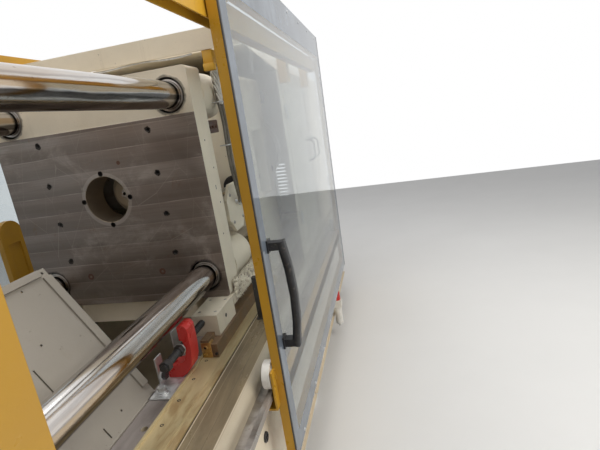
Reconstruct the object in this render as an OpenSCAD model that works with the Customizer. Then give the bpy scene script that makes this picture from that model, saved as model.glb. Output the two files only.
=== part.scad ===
// Horizontal injection moulding machine, clamp side open, seen from its rear (non-operator) side.
// Origin: on the floor under the middle of the machine. +X runs to the injection end, +Y to the rear side.
// Clamp pieces are drawn from the centre of the moving platen's mould face.

/* [Layout] */
// Height of the clamp and injection axis above the floor
axis_h = 1150; // [1050:10:1300]
// Half of the machine's length
half_l = 2550; // [2500:10:2700]
// Distance of the open moving platen's face behind the middle of the machine
face_back = 700; // [680:10:720]
// Opening between the platens when open
daylight = 1000; // [960:10:1060]
// Gap left between pieces of different bodies
air = 0.3; // [0.2:0.05:0.5]
// Radial play of running fits
play = 0.05; // [0.02:0.01:0.09]

/* [Platens] */
// Width of the platens
platen_w = 760; // [740:10:780]
// Height of the platens above and below the axis
platen_up = 385; // [375:5:395]
// Thickness of the moving platen's face plate
plate_t = 100; // [80:5:120]
// Depth of the whole moving platen
platen_d = 350; // [320:10:380]
// Thickness of the fixed platen
fixed_t = 200; // [180:10:220]
// Thickness of the cylinder platen
rear_t = 300; // [260:10:320]
// Gap between the moving platen and the cylinder platen when open
rear_gap = 150; // [120:10:180]
// Radius of the locating bore
locating_r = 80; // [60:5:90]
// Rows of mould bolt holes: distance between neighbours
hole_pitch = 140; // [140:10:160]
// Radius of the mould bolt holes
hole_r = 7.5; // [6:0.5:9]
// Depth of the mould bolt holes
hole_d = 45; // [30:5:60]

/* [Tie bars] */
// Distance between tie bar axes
tie_pitch = 606; // [600:2:620]
// Radius of the tie bars
tie_r = 42.5; // [38:0.5:46]
// Radius of the tie bar holes in the platens
tie_hole_r = 54; // [52:1:58]
// Radius of the tie bar nuts
nut_r = 75; // [68:1:80]
// Length of the tie bar nuts
nut_l = 90; // [70:5:100]

/* [Clamp drive] */
// Radius of the clamp ram
ram_r = 150; // [130:5:160]
// Length of the clamp ram
ram_l = 1000; // [900:20:1040]
// Travel of the moving platen
clamp_stroke = 350; // [300:10:350]
// Room between the clamp cylinder and the end of the machine
end_room = 190; // [170:10:230]
// Travel of the ejector plate
eject_stroke = 60; // [40:5:60]

/* [Bed] */
// Top of the bed below the axis
bed_drop = 506; // [500:2:520]
// Half width of the bed
bed_half_w = 540; // [530:5:545]
// Half width of the open middle of the bed
bed_gap = 250; // [240:5:255]
// Underside of the bed above the floor
bed_foot = 110; // [80:5:140]
// Inner side of the way strip
way_in = 336; // [330:1:340]
// Width of the way strip
way_w = 90; // [80:1:100]
// Thickness of the way strip
way_t = 6; // [4:1:10]
// Height of the way above the bed of the slide shoe's underside
shoe_lift = 45; // [40:1:50]

/* [Safety gates] */
// Gap between the bed's side and the gate's tube frame
gate_off = 52; // [50:1:56]
// Thickness of the gate's tubes
tube = 25; // [20:1:28]
// Thickness of the pane
pane_t = 3; // [2:0.5:6]
// Length of a gate
gate_l = 1650; // [1600:10:1680]
// Top of the gates above the axis
gate_up = 612; // [600:4:640]
// Underside of the gates below the axis
gate_down = 790; // [740:10:820]
// Travel of a gate
gate_travel = 680; // [600:10:682]
// Radius of the gate rollers
roller_r = 39.7; // [36:0.1:42]
// Width of the gate rollers
roller_w = 22; // [18:1:24]

/* [Injection unit] */
// Outer radius of the barrel
barrel_r = 60; // [50:1:64]
// Radius of the screw
screw_r = 25; // [20:1:30]
// Travel of the carriage
carriage_stroke = 300; // [200:10:300]
// Travel of the screw
inject_stroke = 180; // [120:10:190]
// Width of the hopper
hopper_w = 420; // [360:10:460]
// Height of the top of the injection bed above the floor
inj_bed_h = 740; // [700:10:760]

/* [Hidden] */
$fn = 64;

cream = [0.80, 0.74, 0.62];
yellow = [0.80, 0.53, 0.05];
steel = [0.45, 0.42, 0.40];
chrome = [0.72, 0.72, 0.73];
black = [0.07, 0.07, 0.08];

// Places along X, seen from the open mould face
tie_at = tie_pitch / 2;
fixed_x = daylight;
fixed_end = fixed_x + fixed_t;
rear_x = -platen_d - rear_gap;
rear_end = rear_x - rear_t;
bed_top = -bed_drop;
way_top = bed_top + way_t;
left_x = face_back - half_l;
cyl_l = rear_end - left_x - end_room;
gate_in = bed_half_w + gate_off;
right_x = face_back + half_l;
bed_split = fixed_end + 0.3;
floor_z = -axis_h;
inj_top = inj_bed_h - axis_h;

// Boxes by their two corners, and round bars along each axis
module box(x0, x1, y0, y1, z0, z1) translate([x0, y0, z0]) cube([x1 - x0, y1 - y0, z1 - z0]);
module xbar(r, x0, x1, y = 0, z = 0) translate([x0, y, z]) rotate([0, 90, 0]) cylinder(r = r, h = x1 - x0);
module ybar(r, y0, y1, x = 0, z = 0) translate([x, y1, z]) rotate([90, 0, 0]) cylinder(r = r, h = y1 - y0);
module zbar(r, z0, z1, x = 0, y = 0) translate([x, y, z0]) cylinder(r = r, h = z1 - z0);
module xcone(r0, r1, x0, x1, y = 0, z = 0)
    translate([x0, y, z]) rotate([0, 90, 0]) cylinder(r1 = r0, r2 = r1, h = x1 - x0);
module at_clamp() translate([-face_back, 0, axis_h]) children();
module both_sides() {
    children();
    mirror([0, 1, 0]) children();
}
module at_ties() for (y = [-tie_at, tie_at], z = [-tie_at, tie_at]) translate([0, y, z]) children();
// A plate outline in Y and Z, pushed along X
module across(x0, x1) translate([x0, 0, 0]) rotate([90, 0, 90]) linear_extrude(x1 - x0) children();
// An outline in X and Z, pushed along Y
module along(y0, y1) translate([0, y1, 0]) rotate([90, 0, 0]) linear_extrude(y1 - y0) children();
module soft_rect(w, h, r) {
    translate([r - w / 2, -h / 2]) square([w - 2 * r, h]);
    translate([-w / 2, r - h / 2]) square([w, h - 2 * r]);
    for (a = [-1, 1], b = [-1, 1]) translate([a * (w / 2 - r), b * (h / 2 - r)]) circle(r);
}

// Mould bolt holes: two rows of four, the locating bore and its four edge notches
module mould_holes(x0, x1, bore_x0, bore_x1) {
    for (y = [-1.5, 1.5], z = [-1.5, -0.5, 0.5, 1.5]) xbar(hole_r, x0, x1, y * hole_pitch, z * hole_pitch);
    xbar(locating_r, bore_x0, bore_x1);
}
module edge_notches(x0, x1) for (a = [0:90:270]) rotate([a, 0, 0]) xbar(8.5, x0, x1, 0, locating_r + 10);

// Bed: two closed box beams and the ties between them
beam_w = bed_half_w - bed_gap;
bed_edge_r = 28;
bed_bottom = floor_z + bed_foot;
module bed_beam(x0, x1) across(x0, x1) {
    // Section with its outer top edge rounded
    translate([bed_gap, bed_bottom]) square([beam_w, bed_top - bed_bottom - bed_edge_r]);
    translate([bed_gap, bed_bottom]) square([beam_w - bed_edge_r, bed_top - bed_bottom]);
    translate([bed_half_w - bed_edge_r, bed_top - bed_edge_r]) circle(bed_edge_r);
}
chute_x0 = 60;
module clamp_bed() color(cream) at_clamp() difference() {
    union() {
        both_sides() bed_beam(left_x, fixed_end);
        // Cross ties under the platens and at the end
        box(left_x, left_x + 60, -bed_gap - 1, bed_gap + 1, bed_bottom, bed_top);
        box(rear_end - cyl_l, rear_end - cyl_l + 100, -bed_gap - 1, bed_gap + 1, bed_top - 160, bed_top);
        box(rear_end, rear_x + 40, -bed_gap - 1, bed_gap + 1, bed_top - 160, bed_top);
        box(fixed_x + 6, fixed_end, -bed_gap - 1, bed_gap + 1, bed_top - 260, bed_top);
        // Sloping pan that closes the bed behind the chute opening
        along(-bed_gap - 1, bed_gap + 1)
            polygon([[chute_x0, bed_bottom], [chute_x0, bed_bottom + 60], [rear_x + 30, bed_top - 150],
                [rear_x + 10, bed_top - 150], [rear_x + 10, bed_top - 185], [chute_x0 - 30, bed_bottom]]);
    }
    // Drilled holes in the ledge inside the way
    both_sides() for (x = [506, 706, 906]) zbar(9, bed_top - 40, bed_top + 1, x, 309);
}
inj_wall = 25;
bay_l = 700;
bay_x = right_x - bay_l;
field_l = 600;
field_gap = 40;
module injection_bed() color(cream) at_clamp() difference() {
    box(bed_split, right_x, -bed_half_w, bed_half_w, bed_bottom, inj_top);
    // Hollow inside, which is the pump bay and the oil tank's room
    box(bed_split + inj_wall, right_x - inj_wall, -bed_half_w + inj_wall, bed_half_w - inj_wall,
        bed_bottom + inj_wall, inj_top - 160);
    // Trough along the top, under the carriage
    box(bed_split + 60, right_x - 60, -120, 120, inj_top - 130, inj_top + 1);
    // Bay windows at the front side and at the end
    box(bay_x, right_x - 90, -bed_half_w - 1, 0, bed_bottom + 60, inj_top - 170);
    box(right_x - 100, right_x + 1, -bed_half_w + 90, 120, bed_bottom + 60, inj_top - 170);
    // Pocket for the cabinet
    box(cab_x0, cab_x1, cab_back, bed_half_w + 1, cab_z0, inj_top + 1);
    // Shallow panel fields in the front side
    for (i = [0:1]) translate([bed_split + 60 + i * (field_l + field_gap), 0, 0])
        box(0, field_l, -bed_half_w - 1, -bed_half_w + 6, bed_bottom + 60, inj_top - 90);
}
foot_y = bed_half_w - 100;
foot_x = [left_x + 90, (left_x + rear_end) / 2 - 60, rear_x + 60, 0.64 * fixed_x, fixed_end - 70,
    (fixed_end + right_x) / 2 - 325, right_x - 90];
module levelling_feet() color("dimgray") at_clamp() both_sides() for (x = foot_x) translate([x, foot_y, 0]) {
    zbar(70, floor_z, floor_z + 22);
    translate([0, 0, floor_z + 22]) cylinder(r1 = 45, r2 = 26, h = 18);
    zbar(16, floor_z + 30, bed_bottom);
    zbar(30, bed_bottom - 22, bed_bottom);
}
module way_strips() color([0.62, 0.47, 0.22]) at_clamp() both_sides()
    difference() {
        union() {
            box(rear_x + 30, fixed_x - 20, way_in, way_in + way_w, bed_top, way_top);
            // Low guide rail on its inner edge
            box(rear_x + 30, fixed_x - 20, way_in - 7, way_in + 1, bed_top, way_top + 4);
        }
        // Oil groove along the strip
        box(rear_x + 60, fixed_x - 50, way_in + way_w - 22, way_in + way_w - 14, way_top - 2, way_top + 1);
    }

// Roller track: an angle along the bed's side with a raised rail
track_top = bed_top - 34;
track_y0 = gate_in - 21;
track_w = 15;
track_x0 = fixed_x - 20 - gate_l - gate_travel;
module roller_tracks() color([0.55, 0.50, 0.42]) at_clamp() both_sides() {
    box(track_x0, fixed_x + 20, bed_half_w, track_y0 + track_w, track_top - 20, track_top - 14);
    box(track_x0, fixed_x + 20, track_y0, track_y0 + track_w, track_top - 14, track_top);
    box(track_x0, fixed_x + 20, bed_half_w, bed_half_w + 6, track_top - 60, track_top - 20);
}
panel_t = 4;
module lower_panels() color(cream) at_clamp() both_sides() {
    top = track_top - 75;
    n = 4;
    w = (fixed_end - left_x - 60) / n;
    for (i = [0:n - 1]) translate([left_x + 30 + i * w, 0, 0]) difference() {
        union() {
            box(4, w - 4, bed_half_w, bed_half_w + panel_t, bed_bottom + 20, top);
            // Folded edges
            for (z = [bed_bottom + 20, top - 3]) box(4, w - 4, bed_half_w, bed_half_w + 14, z, z + 3);
        }
        for (k = [0:5]) box(w / 2 - 90, w / 2 + 90, bed_half_w - 1, bed_half_w + panel_t + 1,
            bed_bottom + 70 + k * 22, bed_bottom + 78 + k * 22);
    }
}

// Sloping chute sheet in the mould space, folded along its top and its far edge
chute_top_y = 18;
chute_top_z = -115;
chute_low_y = 258;
chute_low_z = -503;
chute_far = clamp_stroke + 10;
chute_t = 4;
module chute_panel() color([0.68, 0.64, 0.57]) at_clamp() {
    run = sqrt(pow(chute_low_y - chute_top_y, 2) + pow(chute_low_z - chute_top_z, 2));
    slope = atan2(chute_low_z - chute_top_z, chute_low_y - chute_top_y);
    len = fixed_x - air - chute_far;
    // Foot on the ledge
    box(chute_far + 40, fixed_x - 40, chute_low_y - 6, chute_low_y + 2, bed_top, bed_top + chute_t);
    translate([chute_far, chute_top_y, chute_top_z]) rotate([slope, 0, 0]) difference() {
        union() {
            translate([0, 0, -chute_t]) cube([len, run, chute_t]);
            // Raised lips along the far edge and the top
            translate([0, 0, -26]) cube([chute_t, run - 12, 26]);
            translate([0, 26, -1]) cube([26, run - 60, 7]);
            translate([0, 0, -26]) cube([len, chute_t, 26]);
            translate([26, 0, -1]) cube([len - 60, 20, 7]);
            // Flange against the fixed platen
            translate([len - chute_t, 0, -60]) cube([chute_t, run - 60, 60]);
        }
        for (p = [[217, 0.45, 4, 66], [189, 0.91, 4, 30], [420, 0.3, 4, 66]])
            translate([p[0], p[1] * run, -chute_t - 1]) cube([p[2], p[3], chute_t + 2]);
        for (p = [[161, 0.37], [121, 0.92], [100, 0.07]])
            translate([p[0], p[1] * run, -chute_t - 1]) cylinder(r = 3, h = chute_t + 2);
        translate([14, 12, -chute_t - 1]) cylinder(r = 4, h = 12);
    }
}

// Fixed sheet guard round the clamp cylinder, its upper corners cut off
guard_half = bed_half_w - 30;
guard_t = 4;
guard_up = 530;
guard_cut = 130;
guard_x1 = fixed_x - gate_l - 10;
module guard_outline(off) polygon([[-guard_half + off, bed_top], [-guard_half + off, guard_up - guard_cut],
    [-guard_half + guard_cut + off * 0.4, guard_up - off], [guard_half - guard_cut - off * 0.4, guard_up - off],
    [guard_half - off, guard_up - guard_cut], [guard_half - off, bed_top]]);
module end_guard() color(cream) at_clamp() difference() {
    across(left_x, guard_x1) guard_outline(0);
    across(left_x + guard_t, guard_x1 + 1) guard_outline(guard_t);
    box(left_x + guard_t, guard_x1 + 1, -guard_half + guard_t, guard_half - guard_t, bed_top - 1, bed_top + 9);
    // Ventilation slots in the end wall
    for (i = [0:9]) box(left_x - 1, left_x + guard_t + 1, -200, 200, -380 + i * 26, -370 + i * 26);
}

// Welded yellow frame: rails that the gates hang over, and the closing posts
rail_y0 = bed_half_w + 8;
rail_y1 = rail_y0 + 40;
rail_z0 = 424;
rail_z1 = 487;
post_w = 100;
module guard_frame() color(yellow) at_clamp() {
    both_sides() {
        difference() {
            box(track_x0, fixed_x + post_w - 10, rail_y0, rail_y1, rail_z0, rail_z1);
            // Open underside of the rail
            box(track_x0 + 20, fixed_x - 40, rail_y0 + 4, rail_y1 - 4, rail_z0 - 1, rail_z1 - 6);
        }
        box(fixed_x - 10, fixed_x + post_w - 10, rail_y0, rail_y1, bed_top + 46, gate_up);
        // Narrow foot of the post, clear of the rollers, on the bed's side
        box(fixed_x + 24, fixed_x + post_w - 10, rail_y0, rail_y1, bed_top - 90, bed_top + 47);
        box(fixed_x + 24, fixed_x + post_w - 22, bed_half_w, rail_y0 + 1, bed_top - 84, bed_top - 44);
        // Arms that hold the rail on the fixed guard
        for (x = [track_x0 + 60, guard_x1 - 80])
            box(x, x + 50, guard_half, rail_y0 + 4, guard_up - guard_cut - 60, rail_z0 + 20);
    }
    // Arm and pin of the control panel, on the operator's side
    box(fixed_x + post_w - 11, cp_x + 14, cp_y - 4, cp_y + 24, cp_mid - 90, cp_mid - 61);
    zbar(14, cp_mid - 62, cp_mid + 62, cp_x, cp_y + 10);
    // Header over the fixed platen
    box(fixed_x + 35, fixed_x + 75, -rail_y0 - 1, rail_y0 + 1, rail_z0, rail_z1);
}
beam_x0 = -140;
beam_x1 = -60;
module cross_beam() color(cream) at_clamp() {
    // Angle from rail to rail with a tray under it
    box(beam_x0, beam_x1, -rail_y0, rail_y0, rail_z0 + 58, rail_z0 + 64);
    box(beam_x1 - 6, beam_x1, -rail_y0, rail_y0, rail_z0, rail_z0 + 59);
    box(beam_x0 + 8, beam_x0 + 48, -rail_y0 + 30, rail_y0 - 30, rail_z0 + 18, rail_z0 + 21);
    for (y = [-rail_y0 + 34, -rail_y0 / 3, rail_y0 / 3 - 8, rail_y0 - 42])
        box(beam_x0 + 8, beam_x1 - 3, y, y + 8, rail_z0 + 18, rail_z0 + 60);
    both_sides() box(beam_x0, beam_x1, rail_y0 - 4, rail_y0, rail_z0, rail_z0 + 60);
}

// Platens
module tie_holes(x0, x1, r) at_ties() xbar(r, x0, x1);
module fixed_platen() color(cream) at_clamp() difference() {
    union() {
        translate([fixed_x, 0, 0]) across(0, fixed_t) soft_rect(platen_w, 2 * platen_up, 22);
        box(fixed_x + 20, fixed_end - 10, -platen_w / 2, platen_w / 2, bed_top, -platen_up + 40);
        // Hinge lugs of the purge guard
        both_sides() box(fixed_end - 1, purge_pin_x + 10, 100, 120, purge_pin_z - 10, purge_pin_z + 10);
    }
    both_sides() ybar(5 + play, 99, 121, purge_pin_x, purge_pin_z);
    tie_holes(fixed_x - 1, fixed_end + 1, tie_r + play);
    mould_holes(fixed_x - 1, fixed_x + hole_d, fixed_x - 1, fixed_x + 60);
    edge_notches(fixed_x - 1, fixed_x + 14);
    xcone(locating_r, 150, fixed_x + 59, fixed_end + 1);
    // Cast pockets in the foot
    for (y = [-200, 0, 200]) box(fixed_x + 45, fixed_end + 1, y - 75, y + 75, bed_top + 25, -platen_up - 12);
}
module rear_platen() color(cream) at_clamp() difference() {
    union() {
        translate([rear_end, 0, 0]) across(0, rear_t) soft_rect(platen_w, 2 * platen_up, 22);
        both_sides() box(rear_end + 20, rear_x - 20, 200, platen_w / 2, bed_top, -platen_up + 40);
    }
    tie_holes(rear_end - 1, rear_x + 1, tie_r + play);
    xbar(ram_r + play, rear_end - 1, rear_x + 1);
    // Cored pockets between the tie bar bosses
    for (a = [0, 90, 180, 270]) rotate([a, 0, 0])
        box(rear_end + 60, rear_x - 60, -150, 150, ram_r + 75, platen_up + 20);
    both_sides() xbar(trav_r + 11, rear_end - 1, rear_x + 1, trav_y, trav_z);
}
module tie_bars() color(chrome) at_clamp() at_ties() {
    xbar(tie_r, rear_end - nut_l - 12, fixed_end + nut_l + 12);
}
module tie_bar_nuts() color("dimgray") at_clamp() at_ties() for (x = [rear_end - nut_l, fixed_end])
    difference() {
        union() {
            xbar(nut_r, x, x + nut_l);
            xbar(nut_r + 8, x == fixed_end ? x : x + nut_l - 14, x == fixed_end ? x + 14 : x + nut_l);
        }
        xbar(tie_r, x - 1, x + nut_l + 1);
        // Spanner slots
        for (a = [0:60:300]) translate([x, 0, 0]) rotate([a, 0, 0])
            box(x == fixed_end ? 40 : -1, x == fixed_end ? nut_l + 1 : 50, -9, 9, nut_r - 12, nut_r + 1);
    }

ram_hole_r = ram_r + 14;
module clamp_cylinder() color(cream) at_clamp() difference() {
    union() {
        xbar(ram_r + 65, rear_end - cyl_l, rear_end);
        xbar(ram_r + 85, rear_end - 46, rear_end);
        xbar(ram_r + 85, rear_end - cyl_l, rear_end - cyl_l + 60);
        zbar(60, 0, ram_r + 110, rear_end - cyl_l + 130);
        // Cradle on the bed
        both_sides() box(rear_end - cyl_l + 20, rear_end - cyl_l + 70, 60, 180, bed_top, -ram_r);
        box(rear_end - cyl_l + 20, rear_end - cyl_l + 70, -310, 310, bed_top, bed_top + 30);
    }
    xbar(ram_hole_r, rear_end - cyl_l + 40, rear_end + 1);
    for (a = [15:30:345]) rotate([a, 0, 0]) xbar(9, rear_end - 60, rear_end - 26, 0, ram_r + 75);
}
trav_y = 285;
trav_z = -75;
trav_r = 34;
trav_rod_r = 16;
module traverse_cylinders() color(black) at_clamp() both_sides() difference() {
    union() {
        xbar(trav_r, rear_x - 560, rear_x + 12, trav_y, trav_z);
        xbar(trav_r + 16, rear_x, rear_x + 12, trav_y, trav_z);
    }
    xbar(trav_rod_r + play, rear_x - 545, rear_x + 13, trav_y, trav_z);
}

// Transport lock beside the way: red C bracket, its long screws and the galvanised angle. It travels with the shoe
lock_x = 250;
lock_base = bed_top + air;
lock_t = 4;
lock_y = 330;
lock_z = -408;
lock_end = 402;
tab_in = 262;
strap_bolt_x = 372;
tab_bolt_x = 320;
tab_bolt_z = -480;
module lock_bracket() color([0.65, 0.07, 0.06]) at_clamp() difference() {
    across(lock_x, lock_x + 48) polygon([[272, lock_base + lock_t], [313, lock_base + lock_t], [331, -491],
        [346, -474], [355, -448], [359, -410], [359, -352], [354, -343], [346, -339], [334, -339], [329, -343],
        [329, -384], [338, -386], [lock_y + 10.3, -398], [lock_y + 10.3, -425], [334, -446], [322, -456],
        [300, -462], [272, -470]]);
    zbar(8, lock_base, -460, lock_x + 24, 289);
}
module hex(r, x0, x1, y, z) translate([x0, y, z]) rotate([0, 90, 0]) cylinder(r = r, h = x1 - x0, $fn = 6);
module lock_screws() color(black) at_clamp() {
    xbar(10, shoe_x1, lock_end, lock_y, lock_z);
    hex(17, lock_end - 23, lock_end - 5, lock_y, lock_z);
    xbar(14, lock_end - 26, lock_end - 22, lock_y, lock_z);
    // Bolt through the galvanised tab
    ybar(7, tab_in, tab_in + 12, tab_bolt_x, tab_bolt_z);
    translate([tab_bolt_x, tab_in + 18, tab_bolt_z]) rotate([90, 0, 0]) cylinder(r = 12, h = 14, $fn = 6);
}
module lock_angle() color([0.66, 0.66, 0.68]) at_clamp() {
    difference() {
        union() {
            // Strip on the ledge and the two tabs folded up from its inner edge
            box(188, lock_end - 4, tab_in, 326, lock_base, lock_base + lock_t);
            box(189, 228, tab_in, tab_in + lock_t, lock_base, -395);
            box(304, 338, tab_in, tab_in + lock_t, lock_base, -418);
        }
        ybar(7, tab_in - 1, tab_in + 5, tab_bolt_x, tab_bolt_z);
    }
    // Bolt with its washers
    zbar(20, lock_base + lock_t - 1, lock_base + lock_t + 4, strap_bolt_x, 288);
    zbar(15, lock_base + lock_t + 3, lock_base + lock_t + 8, strap_bolt_x, 288);
    translate([strap_bolt_x, 288, lock_base + lock_t + 7]) cylinder(r = 11, h = 13, $fn = 6);
}
// Moving platen: face plate, ribbed casting and the pieces that ride on it
core_half = 250;
rib = 34;
web_t = 44;
foot_drop = 467;
apron_half = 236;
boss_r = platen_up - tie_at - 0.5;
module moving_platen() color(cream) at_clamp() difference() {
    union() {
        translate([-plate_t, 0, 0]) across(0, plate_t) soft_rect(platen_w, 2 * platen_up, 14);
        // Box behind the plate: four walls and the web that carries the ram
        difference() {
            box(-platen_d, -plate_t + 1, -core_half, core_half, -core_half, core_half);
            box(-platen_d + web_t, -plate_t + 2, -core_half + rib, core_half - rib,
                -core_half + rib, core_half - rib);
        }
        // Tie bar bosses, tied to the box by ribs
        at_ties() xbar(boss_r, -0.78 * platen_d, -plate_t + 1);
        for (a = [-1, 1], b = [-1, 1]) translate([0, a * tie_at, b * tie_at]) rotate([atan2(-a, b), 0, 0])
            box(-0.7 * platen_d, -plate_t + 1, -rib / 2, rib / 2, -130, 0);
        // Sloping ribs from the plate's edges back to the web
        both_sides() for (z = [-150, 0, 150]) translate([0, 0, z - rib / 2]) linear_extrude(rib)
            polygon([[-plate_t + 1, core_half - 1], [-plate_t + 1, platen_w / 2 - 12],
                [-plate_t - 30, platen_w / 2 - 12], [-platen_d, core_half + 12], [-platen_d, core_half - 1]]);
        for (s = [-1, 1], y = [-150, 150]) scale([1, 1, s]) along(y - rib / 2, y + rib / 2)
            polygon([[-plate_t + 1, core_half - 1], [-plate_t + 1, platen_up - 12],
                [-plate_t - 30, platen_up - 12], [-platen_d, core_half + 12], [-platen_d, core_half - 1]]);
        // Apron under the plate
        box(-plate_t + 5, -20, -apron_half, apron_half, -foot_drop, -platen_up + 1);
    }
    tie_holes(-platen_d, 1, tie_hole_r);
    mould_holes(-hole_d, 1, -plate_t - 1, 1);
    edge_notches(-14, 1);
    // Sight openings in the box's side walls, and seats of the side plates' bosses
    both_sides() ybar(42, core_half - rib - 1, core_half + 1, (-plate_t - platen_d) / 2, 75);
    both_sides() ybar(side_boss_r + 0.2, core_half, platen_w, side_x + 14, side_boss_z);
    // Relieved strip over the ground part of the face
    box(-1.2, 1, -platen_w / 2 - 1, platen_w / 2 + 1, 0.63 * platen_up, platen_up + 1);
}
shoe_x0 = -345;
shoe_x1 = 146;
shoe_in = 297;
shoe_out = 384;
shoe_top = -platen_up;
shoe_under = way_top + shoe_lift;
skid_under = shoe_under + 35;
module slide_shoes() color(cream) at_clamp() both_sides() difference() {
    union() {
        box(-6, shoe_x1, shoe_in, shoe_out, shoe_under, shoe_top);
        // Skid under the casting, its foot set back from the side
        box(shoe_x0, -5, shoe_in, shoe_out + 2, skid_under, shoe_top);
        box(shoe_x0, -plate_t - 1, shoe_out - 12, shoe_out + 2, shoe_top - 1, shoe_top + 27);
        box(shoe_x0 + 10, -5, shoe_in, shoe_out - 36, shoe_under, skid_under + 1);
    }
    for (x = [24, 116], y = [shoe_in + 16, shoe_out - 16]) zbar(6, shoe_top - 10, shoe_top + 1, x, y);
    ybar(7, shoe_out - 20, shoe_out + 1, 76, shoe_top - 34);
}
module way_wipers() color([0.35, 0.25, 0.14]) at_clamp() both_sides() {
    box(shoe_x0 + 5, shoe_x1 + 55, way_in + 4, shoe_out + 8, way_top + air, shoe_under);
    box(shoe_x1, shoe_x1 + 55, way_in + 4, way_in + 30, shoe_under - 1, shoe_under + 14);
}
ram_x1 = -platen_d;
module clamp_ram() color(chrome) at_clamp() difference() {
    union() {
        xbar(ram_r, ram_x1 - ram_l, ram_x1);
        xbar(ram_r + 40, ram_x1 - 40, ram_x1);
        xbar(ram_hole_r - play, ram_x1 - ram_l, ram_x1 - ram_l + 60);
    }
    for (a = [0:30:330]) rotate([a, 0, 0]) xbar(11, ram_x1 - 41, ram_x1 - 22, 0, ram_r + 20);
}
module traverse_rods() color(chrome) at_clamp() both_sides() {
    xbar(trav_rod_r, rear_x - 530, -plate_t, trav_y, trav_z);
    hex(26, -plate_t - 20, -plate_t, trav_y, trav_z);
}
module tie_bar_bushes() color([0.66, 0.48, 0.22]) at_clamp() at_ties() difference() {
    union() {
        xbar(tie_hole_r - 0.1, -0.76 * platen_d, -35);
        xbar(tie_r + 6, -36, -7);
    }
    xbar(tie_r + play, -platen_d, 1);
}
side_x = -255;
side_z = -118;
side_boss_r = 50;
// The boss passes under the traverse rod
side_boss_z = trav_z - trav_rod_r - side_boss_r - 3;
module side_plates() color(cream) at_clamp() both_sides() {
    // Eight-sided cover on the casting's side wall
    difference() {
        translate([side_x, core_half + 116, side_z]) rotate([90, 0, 0]) rotate([0, 0, 22.5])
            cylinder(r = 98, h = 12, $fn = 8);
        for (a = [45:90:315]) translate([side_x, 0, side_z]) rotate([0, a, 0])
            ybar(5, core_half + 112, core_half + 117, 74, 0);
    }
    ybar(side_boss_r, core_half, core_half + 105, side_x + 14, side_boss_z);
}
ej_y = 130;
ej_z = 0;
ej_r = 32;
ej_rod_r = 14;
module ejector_cylinders() color(black) at_clamp() both_sides() difference() {
    xbar(ej_r, -platen_d + web_t, -platen_d + web_t + 110, ej_y, ej_z);
    xbar(ej_rod_r + play, -platen_d + web_t + 8, -platen_d + web_t + 111, ej_y, ej_z);
}
ej_x = -platen_d + web_t + 114;
module ejector_plate() color([0.62, 0.56, 0.46]) at_clamp() difference() {
    union() {
        across(ej_x, ej_x + 24) soft_rect(2 * ej_y + 90, 130, 20);
        both_sides() xbar(ej_rod_r, ej_x - 104, ej_x + 1, ej_y, ej_z);
        xbar(58, ej_x + 23, ej_x + 52);
        xbar(22, ej_x + 51, ej_x + 70);
        xbar(14, ej_x + 69, ej_x + 85);
    }
    xbar(6, ej_x + 60, ej_x + 86);
    for (a = [45:90:315]) rotate([a, 0, 0]) xbar(5, ej_x + 40, ej_x + 53, 0, 44);
}

// Hoses clipped down the moving platen's rear side
hose_route = [[-204, 398.6, 372], [-201, 398.6, 330], [-199, 399.5, 285], [-208, 402, 207], [-191, 405, 128],
    [-195, 404, 36], [-228, 400, -35], [-262, 392, -88], [-286, 380, -110], [-286, 367.8, -110]];
conduit_route = [[-176, 396, 372], [-176, 396, 330], [-178, 397, 285], [-186, 400, 207], [-172, 403, 128],
    [-174, 402, 50], [-198, 398, -20], [-228, 391, -70], [-256, 380, -101], [-256, 367.4, -101]];
function unit(v) = v / norm(v);
function way_of(p, i) = unit(p[min(i + 1, len(p) - 1)] - p[max(i - 1, 0)]);
function ring(p, i, r, n) = let (d = way_of(p, i), a = unit(cross(d, [1, 0, 0.2])), b = cross(d, a))
    [for (k = [0:n - 1]) p[i] + r * (cos(360 * k / n) * a + sin(360 * k / n) * b)];
module swept(p, r, n = 10) {
    last = (len(p) - 1) * n;
    polyhedron(points = [for (i = [0:len(p) - 1]) each ring(p, i, r, n)],
        faces = concat([[for (k = [0:n - 1]) k]], [[for (k = [n - 1:-1:0]) last + k]],
            [for (i = [0:len(p) - 2], k = [0:n - 1])
                [i * n + k, (i + 1) * n + k, (i + 1) * n + (k + 1) % n, i * n + (k + 1) % n]]));
}
function smooth(p, steps) = [for (i = [0:len(p) - 2], s = [0:steps - 1]) let (t = s / steps,
    a = p[max(i - 1, 0)], b = p[i], c = p[i + 1], d = p[min(i + 2, len(p) - 1)])
    0.5 * (2 * b + (c - a) * t + (2 * a - 5 * b + 4 * c - d) * t * t + (3 * b - a - 3 * c + d) * t * t * t),
    p[len(p) - 1]];
module platen_hoses() color([0.15, 0.15, 0.16]) at_clamp() {
    swept(smooth(hose_route, 4), 7);
    swept(smooth(conduit_route, 4), 5);
}

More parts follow.
